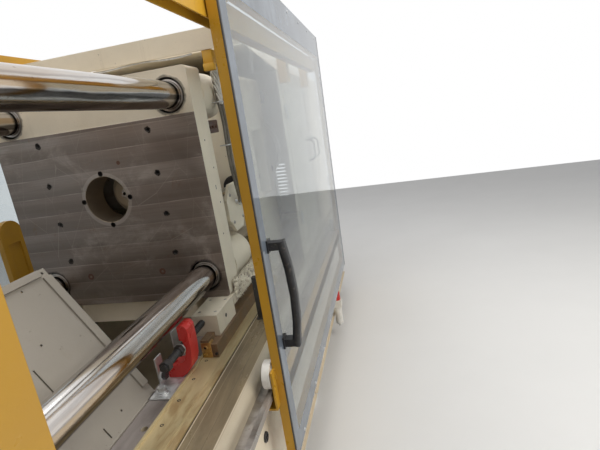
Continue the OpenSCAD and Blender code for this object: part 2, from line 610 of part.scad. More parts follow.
// Sliding gates. The rear one rests open, the front one rests closed
rear_lead = 305;
front_lead = fixed_x - 12;
gate_out = gate_in + tube;
top_band = 121;
low_band = 60;
module gate_frame(lead) {
    far = lead - gate_l;
    difference() {
        box(far, lead, gate_in, gate_out, -gate_down, gate_up);
        box(far + 40, lead - 40, gate_in - 1, gate_out + 1, -gate_down + low_band, rail_z1 + 4);
        box(far + 40, lead - 40, gate_in - 1, gate_out - 5, rail_z1 + 30, gate_up - 30);
    }
    // Middle rail across the pane, behind the bed's edge
    box(far + 39, lead - 39, gate_in, gate_out, -bed_drop - 70, -bed_drop - 30);
    // Shoes that slide over the upper rail
    for (x = [lead - 160, far + 100]) {
        box(x, x + 60, rail_y0 + 6, gate_in + 1, rail_z1 + 1, rail_z1 + 7);
    }
    // Roller brackets
    for (x = [lead - 10, far + 60]) {
        box(x - 34, x + 36, gate_in - 1, gate_in + 5, track_top - 52, track_top + roller_r + 24);
        box(x - 34, x + 36, track_y0 - 10, gate_in + 1, track_top - 52, track_top - 46);
        ybar(9, rail_y0 + 16, gate_in + 1, x, track_top + roller_r + air);
        ybar(15, gate_in + 4, gate_in + 9, x, track_top + roller_r + air);
    }
}
module rear_gate_frame() color(yellow) at_clamp() gate_frame(rear_lead);
module front_gate_frame() color(yellow) at_clamp() mirror([0, 1, 0]) {
    gate_frame(front_lead);
    // Upright latch housing with a rounded head, low on the inner side
    difference() {
        union() {
            box(-190, -80, rail_y0 + 20, gate_in + 1, -bed_drop - 24, -110);
            box(-190, -80, gate_in, gate_out - 5, -bed_drop - 34, -bed_drop + 40);
            along(rail_y0 + 20, gate_in + 1) translate([-135, -110]) circle(55);
        }
        box(-165, -105, rail_y0 + 19, rail_y0 + 26, -bed_drop + 10, -150);
    }
}
module gate_pane(lead) {
    far = lead - gate_l;
    box(far + 4, lead - 8, gate_out, gate_out + pane_t, -gate_down + 4, gate_up - 3);
}
module rear_gate_pane() color([0.7, 0.75, 0.78, 0.4]) at_clamp() gate_pane(rear_lead);
module front_gate_pane() color([0.7, 0.75, 0.78, 0.4]) at_clamp() mirror([0, 1, 0]) gate_pane(front_lead);
handle_z0 = -429;
handle_z1 = -143;
handle_proud = 62;
handle_sag = 14;
module gate_handle(lead) {
    x = lead - 62;
    y = gate_out + pane_t;
    mid = (handle_z0 + handle_z1) / 2;
    half = (handle_z1 - handle_z0) / 2 + 11;
    for (z = [handle_z0, handle_z1]) {
        box(x - 16, x + 16, y, y + 5, z - 17, z + 17);
        box(x - 14, x + 14, y + 4, y + handle_proud - handle_sag - 12, z - 11, z + 11);
    }
    // Bowed grip: an arc of a ring, flattened to an oval bar
    bow_r = (half * half + handle_sag * handle_sag) / (2 * handle_sag);
    translate([x, y + handle_proud - bow_r - 11, mid]) rotate([0, -90, 0]) rotate([0, 0, 90 - asin(half / bow_r)])
        rotate_extrude(angle = 2 * asin(half / bow_r)) translate([bow_r, 0]) soft_rect(22, 32, 9);
}
module rear_gate_handle() color(black) at_clamp() gate_handle(rear_lead);
module front_gate_handle() color(black) at_clamp() mirror([0, 1, 0]) gate_handle(front_lead);
roller_y = gate_in - 26;
module gate_roller(x) difference() {
    union() {
        ybar(roller_r, roller_y, roller_y + roller_w, x, track_top + roller_r + air);
        ybar(roller_r - 14, roller_y - 2, roller_y + 2 + roller_w, x, track_top + roller_r + air);
    }
    ybar(9 + play, roller_y - 6, roller_y + 4 + roller_w, x, track_top + roller_r + air);
    for (a = [0:72:288]) translate([x, 0, track_top + roller_r + air]) rotate([0, a, 0])
        ybar(4, roller_y - 1 + roller_w, roller_y + 3 + roller_w, 18, 0);
}
module rear_roller_front() color("white") at_clamp() gate_roller(rear_lead - 10);
module rear_roller_back() color("white") at_clamp() gate_roller(rear_lead - gate_l + 60);
module front_roller_front() color("white") at_clamp() mirror([0, 1, 0]) gate_roller(front_lead - 10);
module front_roller_back() color("white") at_clamp() mirror([0, 1, 0]) gate_roller(front_lead - gate_l + 60);

// Injection unit
rail_in_y = 210;
carr_x0 = 2080;
carr_x1 = 2350;
carr_z0 = inj_top + 20;
module injection_rails() color(chrome) at_clamp() both_sides() {
    box(bed_split + 20, right_x - 60, rail_in_y - 22, rail_in_y + 22, inj_top, inj_top + 30);
    box(bed_split + 20, right_x - 60, rail_in_y - 32, rail_in_y + 32, inj_top + 30, inj_top + 50);
}
pull_y = 150;
pull_z = -225;
pull_r = 38;
pull_rod_r = 18;
pull_l = 420;
module carriage_cylinders() color(black) at_clamp() both_sides() difference() {
    union() {
        xbar(pull_r, fixed_end, fixed_end + pull_l, pull_y, pull_z);
        xbar(pull_r + 12, fixed_end, fixed_end + 22, pull_y, pull_z);
        xbar(pull_r + 7, fixed_end + pull_l - 30, fixed_end + pull_l, pull_y, pull_z);
    }
    xbar(pull_rod_r + play, fixed_end + 20, fixed_end + pull_l + 1, pull_y, pull_z);
}
inj_y = 190;
inj_r = 66;
inj_rod_r = 32;
inj_l = 330;
throat_x = 2210;
module carriage() color(cream) at_clamp() difference() {
    union() {
        across(carr_x0, carr_x1) translate([0, -40]) soft_rect(560, 320, 30);
        both_sides() box(carr_x0 - 60, carr_x1 + 60, rail_in_y - 60, rail_in_y + 60, carr_z0, -180);
        box(carr_x0 + 20, carr_x1 - 20, -rail_in_y, rail_in_y, carr_z0 + 20, -180);
        // Feed throat
        zbar(95, 100, 190, throat_x);
        both_sides() xbar(inj_r, carr_x1 - 1, carr_x1 + inj_l, inj_y);
        both_sides() xbar(inj_r + 14, carr_x1 + inj_l - 26, carr_x1 + inj_l, inj_y);
        both_sides() xbar(pull_rod_r, fixed_end + 60, carr_x0 + 10, pull_y, pull_z);
    }
    // Guide slots over the two rails
    both_sides() box(carr_x0 - 61, carr_x1 + 61, rail_in_y - 32 - air, rail_in_y + 32 + air,
        inj_top + 30 - air, inj_top + 50 + air);
    both_sides() box(carr_x0 - 61, carr_x1 + 61, rail_in_y - 22 - air, rail_in_y + 22 + air,
        carr_z0 - 1, inj_top + 31);
    xbar(barrel_r + 12, carr_x0 - 1, carr_x1 + 1);
    zbar(36, 0, 191, throat_x);
    both_sides() xbar(inj_rod_r + play, carr_x1 + 30, carr_x1 + inj_l + 1, inj_y);
}
barrel_x0 = fixed_x + 170;
barrel_x1 = carr_x1 + 20;
module barrel() color(steel) at_clamp() difference() {
    union() {
        xbar(barrel_r, barrel_x0, barrel_x1);
        xbar(barrel_r + 12, carr_x0, carr_x1);
        xbar(barrel_r + 18, barrel_x0 + 40, barrel_x0 + 85);
        // Nozzle body, hexagon and tip
        xcone(22, 40, barrel_x0 - 90, barrel_x0 - 20);
        xbar(40, barrel_x0 - 21, barrel_x0 + 1);
        hex(34, barrel_x0 - 72, barrel_x0 - 44, 0, 0);
        xcone(9, 22, barrel_x0 - 104, barrel_x0 - 89);
    }
    xbar(screw_r + play, barrel_x0 + 10, barrel_x1 + 1);
    xbar(5, barrel_x0 - 105, barrel_x0 + 11);
    zbar(30, screw_r - 5, barrel_r + 13, throat_x);
}
band_x = [for (i = [0:4]) barrel_x0 + 125 + i * 150];
module heater_bands() color([0.55, 0.54, 0.52]) at_clamp() for (x = band_x) difference() {
    union() {
        xbar(barrel_r + 9, x, x + 120);
        box(x + 35, x + 85, -14, 14, barrel_r, barrel_r + 34);
        for (dx = [8, 106]) xbar(barrel_r + 12, x + dx, x + dx + 6);
    }
    xbar(barrel_r, x - 1, x + 121);
    box(x - 1, x + 121, -2, 2, -barrel_r - 20, -barrel_r + 2);
}
bg_x0 = fixed_end + 360;
bg_half = 130;
module barrel_guard() color(cream) at_clamp() difference() {
    across(bg_x0, carr_x0) union() {
        circle(bg_half);
        translate([-bg_half, -160]) square([2 * bg_half, 160]);
    }
    across(bg_x0 - 1, carr_x0 + 1) union() {
        circle(bg_half - 3);
        translate([-bg_half + 3, -161]) square([2 * bg_half - 6, 161]);
    }
    // Rows of slots in both sides
    for (x = [bg_x0 + 30:45:carr_x0 - 60], z = [-110, -50])
        box(x, x + 28, -bg_half - 1, bg_half + 1, z, z + 12);
    for (x = [bg_x0 + 40:80:carr_x0 - 80]) box(x, x + 50, -40, 40, 100, bg_half + 1);
}
cross_x = carr_x1 + inj_l + inject_stroke + 30;
module crosshead() color(cream) at_clamp() difference() {
    union() {
        across(cross_x, cross_x + 70) soft_rect(2 * inj_y + 170, 210, 50);
        both_sides() xbar(inj_rod_r, carr_x1 + inject_stroke + 40, cross_x + 1, inj_y);
        both_sides() hex(44, cross_x + 69, cross_x + 92, inj_y, 0);
    }
    xbar(screw_r + play, cross_x - 1, cross_x + 71);
}
module screw_motor() color(black) at_clamp() {
    xbar(92, cross_x + 70, cross_x + 90);
    xbar(78, cross_x + 89, cross_x + 165);
    for (i = [0:3]) xbar(84, cross_x + 100 + i * 16, cross_x + 107 + i * 16);
    box(cross_x + 95, cross_x + 160, -35, 35, 60, 105);
}
flight = 36;
module screw() color(chrome) at_clamp() {
    xbar(0.68 * screw_r, barrel_x0 + 40 + inject_stroke, throat_x + 260);
    xbar(screw_r, throat_x + 259, cross_x + 69);
    xcone(3, 0.68 * screw_r, barrel_x0 + 15 + inject_stroke, barrel_x0 + 41 + inject_stroke);
    // Screw flights
    for (x = [barrel_x0 + 60 + inject_stroke:flight:throat_x + 60]) xbar(screw_r, x, x + 6);
}
hop_z = 190;
bin_h = 500;
slide_t = 12;
module hopper_plate(z0, z1) translate([throat_x, 0, z0]) linear_extrude(z1 - z0) soft_rect(230, 230, 20);
module hopper() color([0.74, 0.74, 0.75]) at_clamp() {
    r0 = 42;
    r1 = hopper_w / 2;
    z1 = hop_z + 2 * slide_t + slide_t + 2;
    difference() {
        union() {
            difference() {
                hopper_plate(hop_z, z1 - slide_t / 2);
                // Channel of the shut-off slide
                box(throat_x - 69 - air, throat_x + 69 + air, -116, 112, hop_z + slide_t - air,
                    hop_z + 2 * slide_t + air);
            }
            translate([throat_x, 0, z1 - slide_t / 2 - 1]) cylinder(r1 = r0, r2 = r1, h = 260);
            zbar(r1, z1 + 252, z1 + bin_h, throat_x);
            zbar(r1 + 8, z1 + bin_h - 10, z1 + bin_h, throat_x);
            // Hinge lugs
            both_sides() box(throat_x + r1 - 1, throat_x + r1 + 30, 40, 60, z1 + bin_h - 34, z1 + bin_h - 2);
            both_sides() box(throat_x + r1 + 11, throat_x + r1 + 30, 40, 60, z1 + bin_h - 3, z1 + bin_h + 12);
        }
        zbar(36, hop_z - 1, z1 + 20, throat_x);
        translate([throat_x, 0, z1 + 4]) cylinder(r1 = r0 - 4, r2 = r1 - 3, h = 252);
        zbar(r1 - 3, z1 + 255, z1 + bin_h + 1, throat_x);
        both_sides() ybar(5 + play, 30, 61, throat_x + r1 + 20, z1 + bin_h + 2);
    }
}
lid_z = hop_z + 3 * slide_t + 2 + bin_h;
module hopper_lid() color([0.74, 0.74, 0.75]) at_clamp() {
    r1 = hopper_w / 2;
    zbar(r1 + 8, lid_z + air, lid_z + 5, throat_x);
    translate([throat_x, 0, lid_z + 4]) cylinder(r1 = r1 - 30, r2 = r1 - 70, h = 22);
    zbar(9, lid_z + 20, lid_z + 60, throat_x - 60);
    zbar(20, lid_z + 55, lid_z + 72, throat_x - 60);
    // Hinge tongue and pin
    box(throat_x + r1 - 30, throat_x + r1 + 22, -39, 39, lid_z + 1, lid_z + 5);
    ybar(5, -62, 62, throat_x + r1 + 20, lid_z + 2);
}
module hopper_slide() color([0.55, 0.55, 0.56]) at_clamp() difference() {
    union() {
        box(throat_x - 69, throat_x + 69, -150, 111, hop_z + slide_t, hop_z + 2 * slide_t);
        box(throat_x - 45, throat_x + 45, -158, -149, hop_z + slide_t - 10, hop_z + 2 * slide_t + 10);
    }
    // Feed hole, shut when the slide is pulled out
    zbar(36, hop_z, hop_z + 3 * slide_t, throat_x);
}
purge_x0 = fixed_end + 8;
purge_x1 = bg_x0 - 30;
purge_half = 190;
purge_low = -70;
purge_up = 160;
purge_pin_x = fixed_end + 14;
purge_pin_z = purge_up + 12;
module hood(x0, x1, t) across(x0, x1) polygon([[-purge_half + t, purge_low - t], [-purge_half + t, purge_up - 60],
    [-purge_half + 60 + 0.4 * t, purge_up - t], [purge_half - 60 - 0.4 * t, purge_up - t],
    [purge_half - t, purge_up - 60], [purge_half - t, purge_low - t]]);
module purge_guard() color(cream) at_clamp() {
    difference() {
        hood(purge_x0, purge_x1, 0);
        hood(purge_x0 - 1, purge_x1 + 1, 3);
        // Window, and notches round the hinge lugs
        box(purge_x0 + 70, purge_x1 - 40, -purge_half + 90, purge_half - 90, purge_up - 20, purge_up + 1);
        both_sides() box(purge_x0 - 1, purge_pin_x + 22, 98, 122, purge_up - 20, purge_up + 1);
    }
    // Hinge knuckles and pins
    both_sides() {
        box(purge_pin_x - 6, purge_pin_x + 8, 60, 98, purge_up - 2, purge_pin_z);
        ybar(8, 60, 98, purge_pin_x, purge_pin_z);
        ybar(5, 97, 122, purge_pin_x, purge_pin_z);
    }
}

// Electrical cabinet on the injection side, its door and switch
cab_l = 1000;
cab_end = 130;
cab_x0 = right_x - cab_end - cab_l;
cab_back = 300;
cab_x1 = right_x - cab_end;
cab_y1 = gate_out + pane_t + handle_proud - 42;
cab_z0 = bed_bottom + 40;
module cabinet() color(cream) at_clamp() difference() {
    box(cab_x0, cab_x1, cab_back, cab_y1, cab_z0, inj_top);
    box(cab_x0 + 5, cab_x1 - 5, cab_back + 5, cab_y1 + 1, cab_z0 + 5, inj_top - 5);
}
door_t = 18;
module cabinet_door() color(cream) at_clamp() difference() {
    union() {
        box(cab_x0, cab_x1, cab_y1 + air, cab_y1 + door_t, cab_z0, inj_top);
        for (z = [cab_z0 + 90, inj_top - 150]) zbar(8, z, z + 60, cab_x1 + 8, cab_y1 + 8);
        for (z = [cab_z0 + 90, inj_top - 150]) box(cab_x1 - 2, cab_x1 + 8, cab_y1 + air, cab_y1 + 4, z, z + 60);
    }
    box(cab_x0 + 14, cab_x1 - 14, cab_y1 - 1, cab_y1 + 12, cab_z0 + 14, inj_top - 14);
    // Louvres
    for (i = [0:11]) box(cab_x1 - 330, cab_x1 - 90, cab_y1, cab_y1 + door_t + 1,
        cab_z0 + 60 + i * 16, cab_z0 + 66 + i * 16);
    ybar(16 + play, cab_y1 - 1, cab_y1 + door_t + 1, cab_x0 + 90, inj_top - 110);
}
module main_switch() color([0.65, 0.07, 0.06]) at_clamp() {
    ybar(16, cab_y1 + 3, cab_y1 + door_t + 3, cab_x0 + 90, inj_top - 110);
    ybar(30, cab_y1 + door_t + 2, cab_y1 + door_t + 12, cab_x0 + 90, inj_top - 110);
    box(cab_x0 + 83, cab_x0 + 97, cab_y1 + door_t + 11, cab_y1 + door_t + 22, inj_top - 138, inj_top - 82);
}

// Control panel on an arm at the operator's side
cp_x = fixed_x + 290;
cp_y = -gate_in;
cp_z0 = 60;
cp_z1 = 560;
cp_mid = (cp_z0 + cp_z1) / 2;
cp_d = 62;
cp_face = cp_y - 10 - cp_d;
module control_panel() color([0.70, 0.68, 0.64]) at_clamp() {
    difference() {
        union() {
            translate([cp_x + 220, cp_y - 10, cp_mid]) rotate([90, 0, 0]) linear_extrude(cp_d)
                soft_rect(400, cp_z1 - cp_z0, 18);
            // Lug and socket that turn on the arm's pin
            box(cp_x, cp_x + 60, cp_y - 11, cp_y + 10, cp_mid - 52, cp_mid + 52);
            zbar(26, cp_mid - 60, cp_mid + 60, cp_x, cp_y + 10);
        }
        // Screen recess and key field
        box(cp_x + 70, cp_x + 370, cp_face - 1, cp_face + 4, cp_z1 - 270, cp_z1 - 50);
        box(cp_x + 70, cp_x + 370, cp_face - 1, cp_face + 2, cp_z0 + 110, cp_z0 + 200);
        ybar(12 + play, cp_face - 1, cp_face + 30, cp_x + 350, cp_z0 + 60);
        zbar(14 + play, cp_mid - 61, cp_mid + 61, cp_x, cp_y + 10);
    }
    // Keys
    for (i = [0:6], k = [0:1]) box(cp_x + 84 + i * 40, cp_x + 110 + i * 40, cp_face - 1, cp_face + 3,
        cp_z0 + 122 + k * 38, cp_z0 + 148 + k * 38);
}
module emergency_button() color([0.65, 0.07, 0.06]) at_clamp() {
    ybar(12, cp_face - 15, cp_face + 18, cp_x + 350, cp_z0 + 60);
    ybar(20, cp_face - 15, cp_face - 7, cp_x + 350, cp_z0 + 60);
}

// Pump and motor in the end bay
pm_z = bed_bottom + inj_wall + 190;
pump_back = 520;
module pump_motor() color([0.24, 0.32, 0.40]) at_clamp() {
    x = right_x - pump_back;
    xbar(130, x, x + 300, -190, pm_z);
    xbar(138, x + 300, x + 360, -190, pm_z);
    xbar(85, x - 90, x + 1, -190, pm_z);
    for (a = [20:20:340]) translate([0, -190, pm_z]) rotate([a, 0, 0]) box(x + 10, x + 290, -4, 4, 128, 148);
    box(x + 60, x + 240, -270, -110, bed_bottom + inj_wall, pm_z - 110);
    box(x + 80, x + 200, -250, -130, pm_z + 120, pm_z + 175);
}

// Air service unit low on the fixed guard's side
reg_x = left_x + 760;
reg_y = bed_half_w + panel_t;
reg_z = bed_bottom + 78;
module air_regulator() color([0.86, 0.86, 0.84]) at_clamp() {
    box(reg_x - 30, reg_x + 30, reg_y, reg_y + 6, reg_z - 30, reg_z + 60);
    box(reg_x - 24, reg_x + 24, reg_y + 5, reg_y + 60, reg_z, reg_z + 44);
    zbar(22, reg_z - 110, reg_z + 1, reg_x, reg_y + 34);
    zbar(8, reg_z - 126, reg_z - 109, reg_x, reg_y + 34);
    zbar(10, reg_z + 43, reg_z + 52, reg_x, reg_y + 34);
}
module regulator_knob() color([0.75, 0.10, 0.06]) at_clamp() difference() {
    zbar(20, reg_z + 44 + air, reg_z + 92, reg_x, reg_y + 34);
    zbar(10 + play, reg_z + 44, reg_z + 52 + air, reg_x, reg_y + 34);
    for (a = [0:30:330]) translate([reg_x, reg_y + 34, 0]) rotate([0, 0, a]) zbar(2.5, reg_z + 50, reg_z + 93, 20.5, 0);
}

clamp_bed();
injection_bed();
levelling_feet();
way_strips();
roller_tracks();
lower_panels();
chute_panel();
end_guard();
guard_frame();
cross_beam();
fixed_platen();
rear_platen();
tie_bars();
tie_bar_nuts();
clamp_cylinder();
traverse_cylinders();
lock_bracket();
lock_screws();
lock_angle();
moving_platen();
slide_shoes();
way_wipers();
clamp_ram();
traverse_rods();
tie_bar_bushes();
side_plates();
ejector_cylinders();
ejector_plate();
platen_hoses();
rear_gate_frame();
rear_gate_pane();
rear_gate_handle();
rear_roller_front();
rear_roller_back();
front_gate_frame();
front_gate_pane();
front_gate_handle();
front_roller_front();
front_roller_back();
injection_rails();
carriage_cylinders();
carriage();
barrel();
heater_bands();
barrel_guard();
crosshead();
screw_motor();
screw();
hopper();
hopper_lid();
hopper_slide();
purge_guard();
cabinet();
cabinet_door();
main_switch();
control_panel();
emergency_button();
pump_motor();
air_regulator();
regulator_knob();
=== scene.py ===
# Injection moulding machine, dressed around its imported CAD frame. Metres, +Z up, +X to the injection end.
import math

import bpy
from mathutils import Euler, Matrix, Vector


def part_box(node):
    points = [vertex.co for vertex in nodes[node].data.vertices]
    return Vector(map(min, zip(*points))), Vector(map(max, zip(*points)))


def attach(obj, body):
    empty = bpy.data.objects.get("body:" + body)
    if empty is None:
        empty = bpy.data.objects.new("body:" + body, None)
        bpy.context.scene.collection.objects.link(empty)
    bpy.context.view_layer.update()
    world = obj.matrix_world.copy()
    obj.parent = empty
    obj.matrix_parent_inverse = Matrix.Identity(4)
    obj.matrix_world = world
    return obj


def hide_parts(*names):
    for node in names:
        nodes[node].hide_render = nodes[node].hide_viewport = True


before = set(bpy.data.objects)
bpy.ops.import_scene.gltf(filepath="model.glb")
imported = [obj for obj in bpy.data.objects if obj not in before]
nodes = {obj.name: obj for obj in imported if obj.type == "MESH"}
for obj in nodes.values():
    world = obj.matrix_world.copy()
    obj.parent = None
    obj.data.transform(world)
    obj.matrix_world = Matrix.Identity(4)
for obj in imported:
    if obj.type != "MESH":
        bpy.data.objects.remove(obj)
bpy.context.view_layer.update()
scene = bpy.context.scene

# The photograph's camera: its place, its three axes and the lens
cameraView = {
    "place": (0.60784, 0.95328, 1.32519),
    "right": (-0.18009, 0.97295, -0.14470),
    "up": (-0.26361, 0.09398, 0.96004),
    "back": (0.94767, 0.21104, 0.23955),
    "lens": 25.77,
    "sensor": 36.0,
}


def makeCamera(view):
    data = bpy.data.cameras.new("camera")
    data.lens = view["lens"]
    data.sensor_width = view["sensor"]
    data.clip_start = 0.02
    data.clip_end = 60
    camera = bpy.data.objects.new("camera", data)
    scene.collection.objects.link(camera)
    axes = Matrix((view["right"], view["up"], view["back"])).transposed()
    camera.matrix_world = Matrix.Translation(view["place"]) @ axes.to_4x4()
    scene.camera = camera


makeCamera(cameraView)
print("camera set")


# Small helpers for node materials. Patterns read Object coordinates, in metres
def addNode(tree, kind, values=None, **settings):
    made = tree.nodes.new("ShaderNode" + kind)
    for name, value in settings.items():
        setattr(made, name, value)
    for key, value in (values or {}).items():
        if isinstance(value, bpy.types.NodeSocket):
            tree.links.new(value, made.inputs[key])
        else:
            made.inputs[key].default_value = value
    return made


def calc(tree, operation, first, second=0.0):
    return addNode(tree, "Math", {0: first, 1: second}, operation=operation).outputs[0]


def fade(tree, value, low, high, start=0.0, end=1.0):
    values = {"Value": value, "From Min": low, "From Max": high, "To Min": start, "To Max": end}
    return addNode(tree, "MapRange", values, interpolation_type="SMOOTHSTEP").outputs[0]


def between(tree, value, low, high, soft):
    rising = fade(tree, value, low - soft, low + soft)
    falling = fade(tree, value, high - soft, high + soft, 1.0, 0.0)
    return calc(tree, "MULTIPLY", rising, falling)


def mixColor(tree, amount, under, over):
    return addNode(tree, "Mix", {0: amount, 6: under, 7: over}, data_type="RGBA").outputs[2]


def place(tree, stretch, shift):
    spot = addNode(tree, "TexCoord").outputs["Object"]
    return addNode(tree, "Mapping", {"Vector": spot, "Location": shift, "Scale": stretch}).outputs[0]


def cloud(tree, size, detail, rough, stretch=(1, 1, 1), shift=(0, 0, 0), warp=0.0):
    values = {"Vector": place(tree, stretch, shift), "Scale": 1 / size, "Detail": detail,
              "Roughness": rough, "Distortion": warp}
    return addNode(tree, "TexNoise", values).outputs[0]


def cells(tree, size, feature="F1", stretch=(1, 1, 1), shift=(0, 0, 0)):
    values = {"Vector": place(tree, stretch, shift), "Scale": 1 / size}
    return addNode(tree, "TexVoronoi", values, feature=feature).outputs


def axesOf(tree):
    spot = addNode(tree, "TexCoord").outputs["Object"]
    return addNode(tree, "SeparateXYZ", {0: spot}).outputs


def normalsOf(tree):
    return addNode(tree, "SeparateXYZ", {0: addNode(tree, "NewGeometry").outputs["Normal"]}).outputs


def rgba(color, gain=1.0):
    return (color[0] * gain, color[1] * gain, color[2] * gain, 1.0)


def newMaterial(name):
    material = bpy.data.materials.new(name)
    material.use_nodes = True
    tree = material.node_tree
    tree.nodes.clear()
    shader = tree.nodes.new("ShaderNodeBsdfPrincipled")
    output = tree.nodes.new("ShaderNodeOutputMaterial")
    tree.links.new(shader.outputs[0], output.inputs[0])
    return material, tree, shader


def relief(tree, shader, height, depth, soften=0.0):
    values = {"Height": height, "Distance": depth, "Strength": 1.0}
    if soften:
        values["Normal"] = addNode(tree, "Bevel", {"Radius": soften}, samples=4).outputs[0]
    tree.links.new(addNode(tree, "Bump", values).outputs[0], shader.inputs["Normal"])


def paintColor(tree, look):
    # Mottled paint with grime that gathers low down, thin run marks and small chips
    shade = cloud(tree, look.get("patch", 0.35), 5, 0.6)
    color = mixColor(tree, fade(tree, shade, 0.35, 0.68), rgba(look["color"], 0.93),
                     rgba(look["color"], 1.04))
    film = cloud(tree, 0.9, 6, 0.62, shift=(3, 1, 2))
    color = mixColor(tree, fade(tree, film, 0.46, 0.74, 0, look.get("film", 0.35)), color,
                     rgba(look["grime"]))
    runs = cloud(tree, 0.05, 5, 0.6, stretch=(1, 1, 0.06), shift=(0, 2, 5))
    color = mixColor(tree, fade(tree, runs, 0.6, 0.78, 0, look.get("runs", 0.25)), color,
                     rgba(look["grime"], 0.8))
    splash = fade(tree, calc(tree, "ADD", axesOf(tree)[2], fade(tree, film, 0.3, 0.7, 0.22, -0.12)),
                  0.06, 0.50, 0.55, 0)
    color = mixColor(tree, splash, color, rgba(look["grime"]))
    fine = cloud(tree, 0.006, 3, 0.7)
    color = mixColor(tree, fade(tree, fine, 0.60, 0.76, 0, 0.16), color, rgba(look["grime"], 0.7))
    chip = cloud(tree, look.get("chipSize", 0.016), 6, 0.72, shift=(7, 3, 1))
    zone = cloud(tree, 0.22, 3, 0.6, shift=(1, 8, 4))
    chips = calc(tree, "MULTIPLY", fade(tree, chip, 0.655, 0.675), fade(tree, zone, 0.5, 0.62))
    chips = calc(tree, "MULTIPLY", chips, look.get("chips", 0.8))
    return mixColor(tree, chips, color, rgba(look.get("under", (0.16, 0.13, 0.11)))), chips


def paintMaterial(name, look):
    material, tree, shader = newMaterial(name)
    color, chips = paintColor(tree, look)
    tree.links.new(color, shader.inputs["Base Color"])
    smear = cloud(tree, 0.12, 5, 0.65, shift=(4, 4, 0))
    rough = fade(tree, smear, 0.3, 0.75, look.get("rough", 0.42) - 0.1, look.get("rough", 0.42) + 0.16)
    tree.links.new(calc(tree, "ADD", rough, calc(tree, "MULTIPLY", chips, 0.2)), shader.inputs["Roughness"])
    peel = cloud(tree, look.get("peel", 0.004), 2, 0.5)
    height = calc(tree, "SUBTRACT", calc(tree, "MULTIPLY", peel, 0.35), chips)
    relief(tree, shader, height, 0.0004, look.get("soften", 0.0025))
    return material


creamLook = {"color": (0.80, 0.72, 0.575), "grime": (0.40, 0.31, 0.20), "film": 0.30, "runs": 0.22}
# The bed's cream is darker than the rest of the machine's cream, with heavier grime; the darkening is painted
# shade
# The lines along the bed, each from one distance off the axis to another, with its tone and amount
bedLook = {"color": (0.47, 0.41, 0.31), "grime": (0.19, 0.14, 0.085), "film": 0.5, "runs": 0.4,
           "lines": [(0.426, 0.4295, 0.02, 0.9), (0.4295, 0.4325, 0.62, 0.8), (0.449, 0.4505, 0.5, 0.35),
                     (0.487, 0.4885, 0.06, 0.6), (0.516, 0.519, 0.66, 0.7)]}
yellowLook = {"color": (0.64, 0.36, 0.03), "grime": (0.36, 0.18, 0.03), "film": 0.4, "runs": 0.35,
              "chips": 0.9, "rough": 0.36, "soften": 0.002}
redLook = {"color": (0.60, 0.035, 0.03), "grime": (0.16, 0.015, 0.012), "film": 0.5, "patch": 0.05,
           "chipSize": 0.007, "rough": 0.34, "peel": 0.002, "soften": 0.0015}
blueLook = {"color": (0.12, 0.20, 0.30), "grime": (0.05, 0.06, 0.07), "film": 0.4, "rough": 0.45}
blackLook = {"color": (0.035, 0.034, 0.036), "grime": (0.10, 0.075, 0.05), "film": 0.4, "runs": 0.3,
             "under": (0.25, 0.22, 0.20), "rough": 0.38, "patch": 0.12, "soften": 0.0015}
panelLook = {"color": (0.29, 0.265, 0.23), "grime": (0.30, 0.26, 0.20), "film": 0.25, "rough": 0.5}

# Where the ground and painted zones of the castings change, in metres
zones = {"face": -0.7, "groundTop": 1.393, "axis": 1.15, "bedTop": 0.644,
         "wayIn": 0.336, "wayOut": 0.426, "bedEdge": 0.519, "fixedFace": 0.3}
# Holes of the mould face round its axis: bore, its notches, tie bar bores and the rows of mould bolts
holes = {"bore": 0.0815, "notch": 0.09, "notchRadius": 0.0091, "tie": 0.303, "tieRadius": 0.0551,
         "boltOut": 0.21, "boltIn": 0.07, "boltRadius": 0.0082}
# Near-black painted shade for the walls and rims of the platens' holes
holeShadeBlack = (0.022, 0.018, 0.015)
steelLook = {"color": (0.31, 0.265, 0.235), "pale": (0.48, 0.43, 0.385), "dark": (0.16, 0.13, 0.112),
             "stain": (0.21, 0.125, 0.075)}


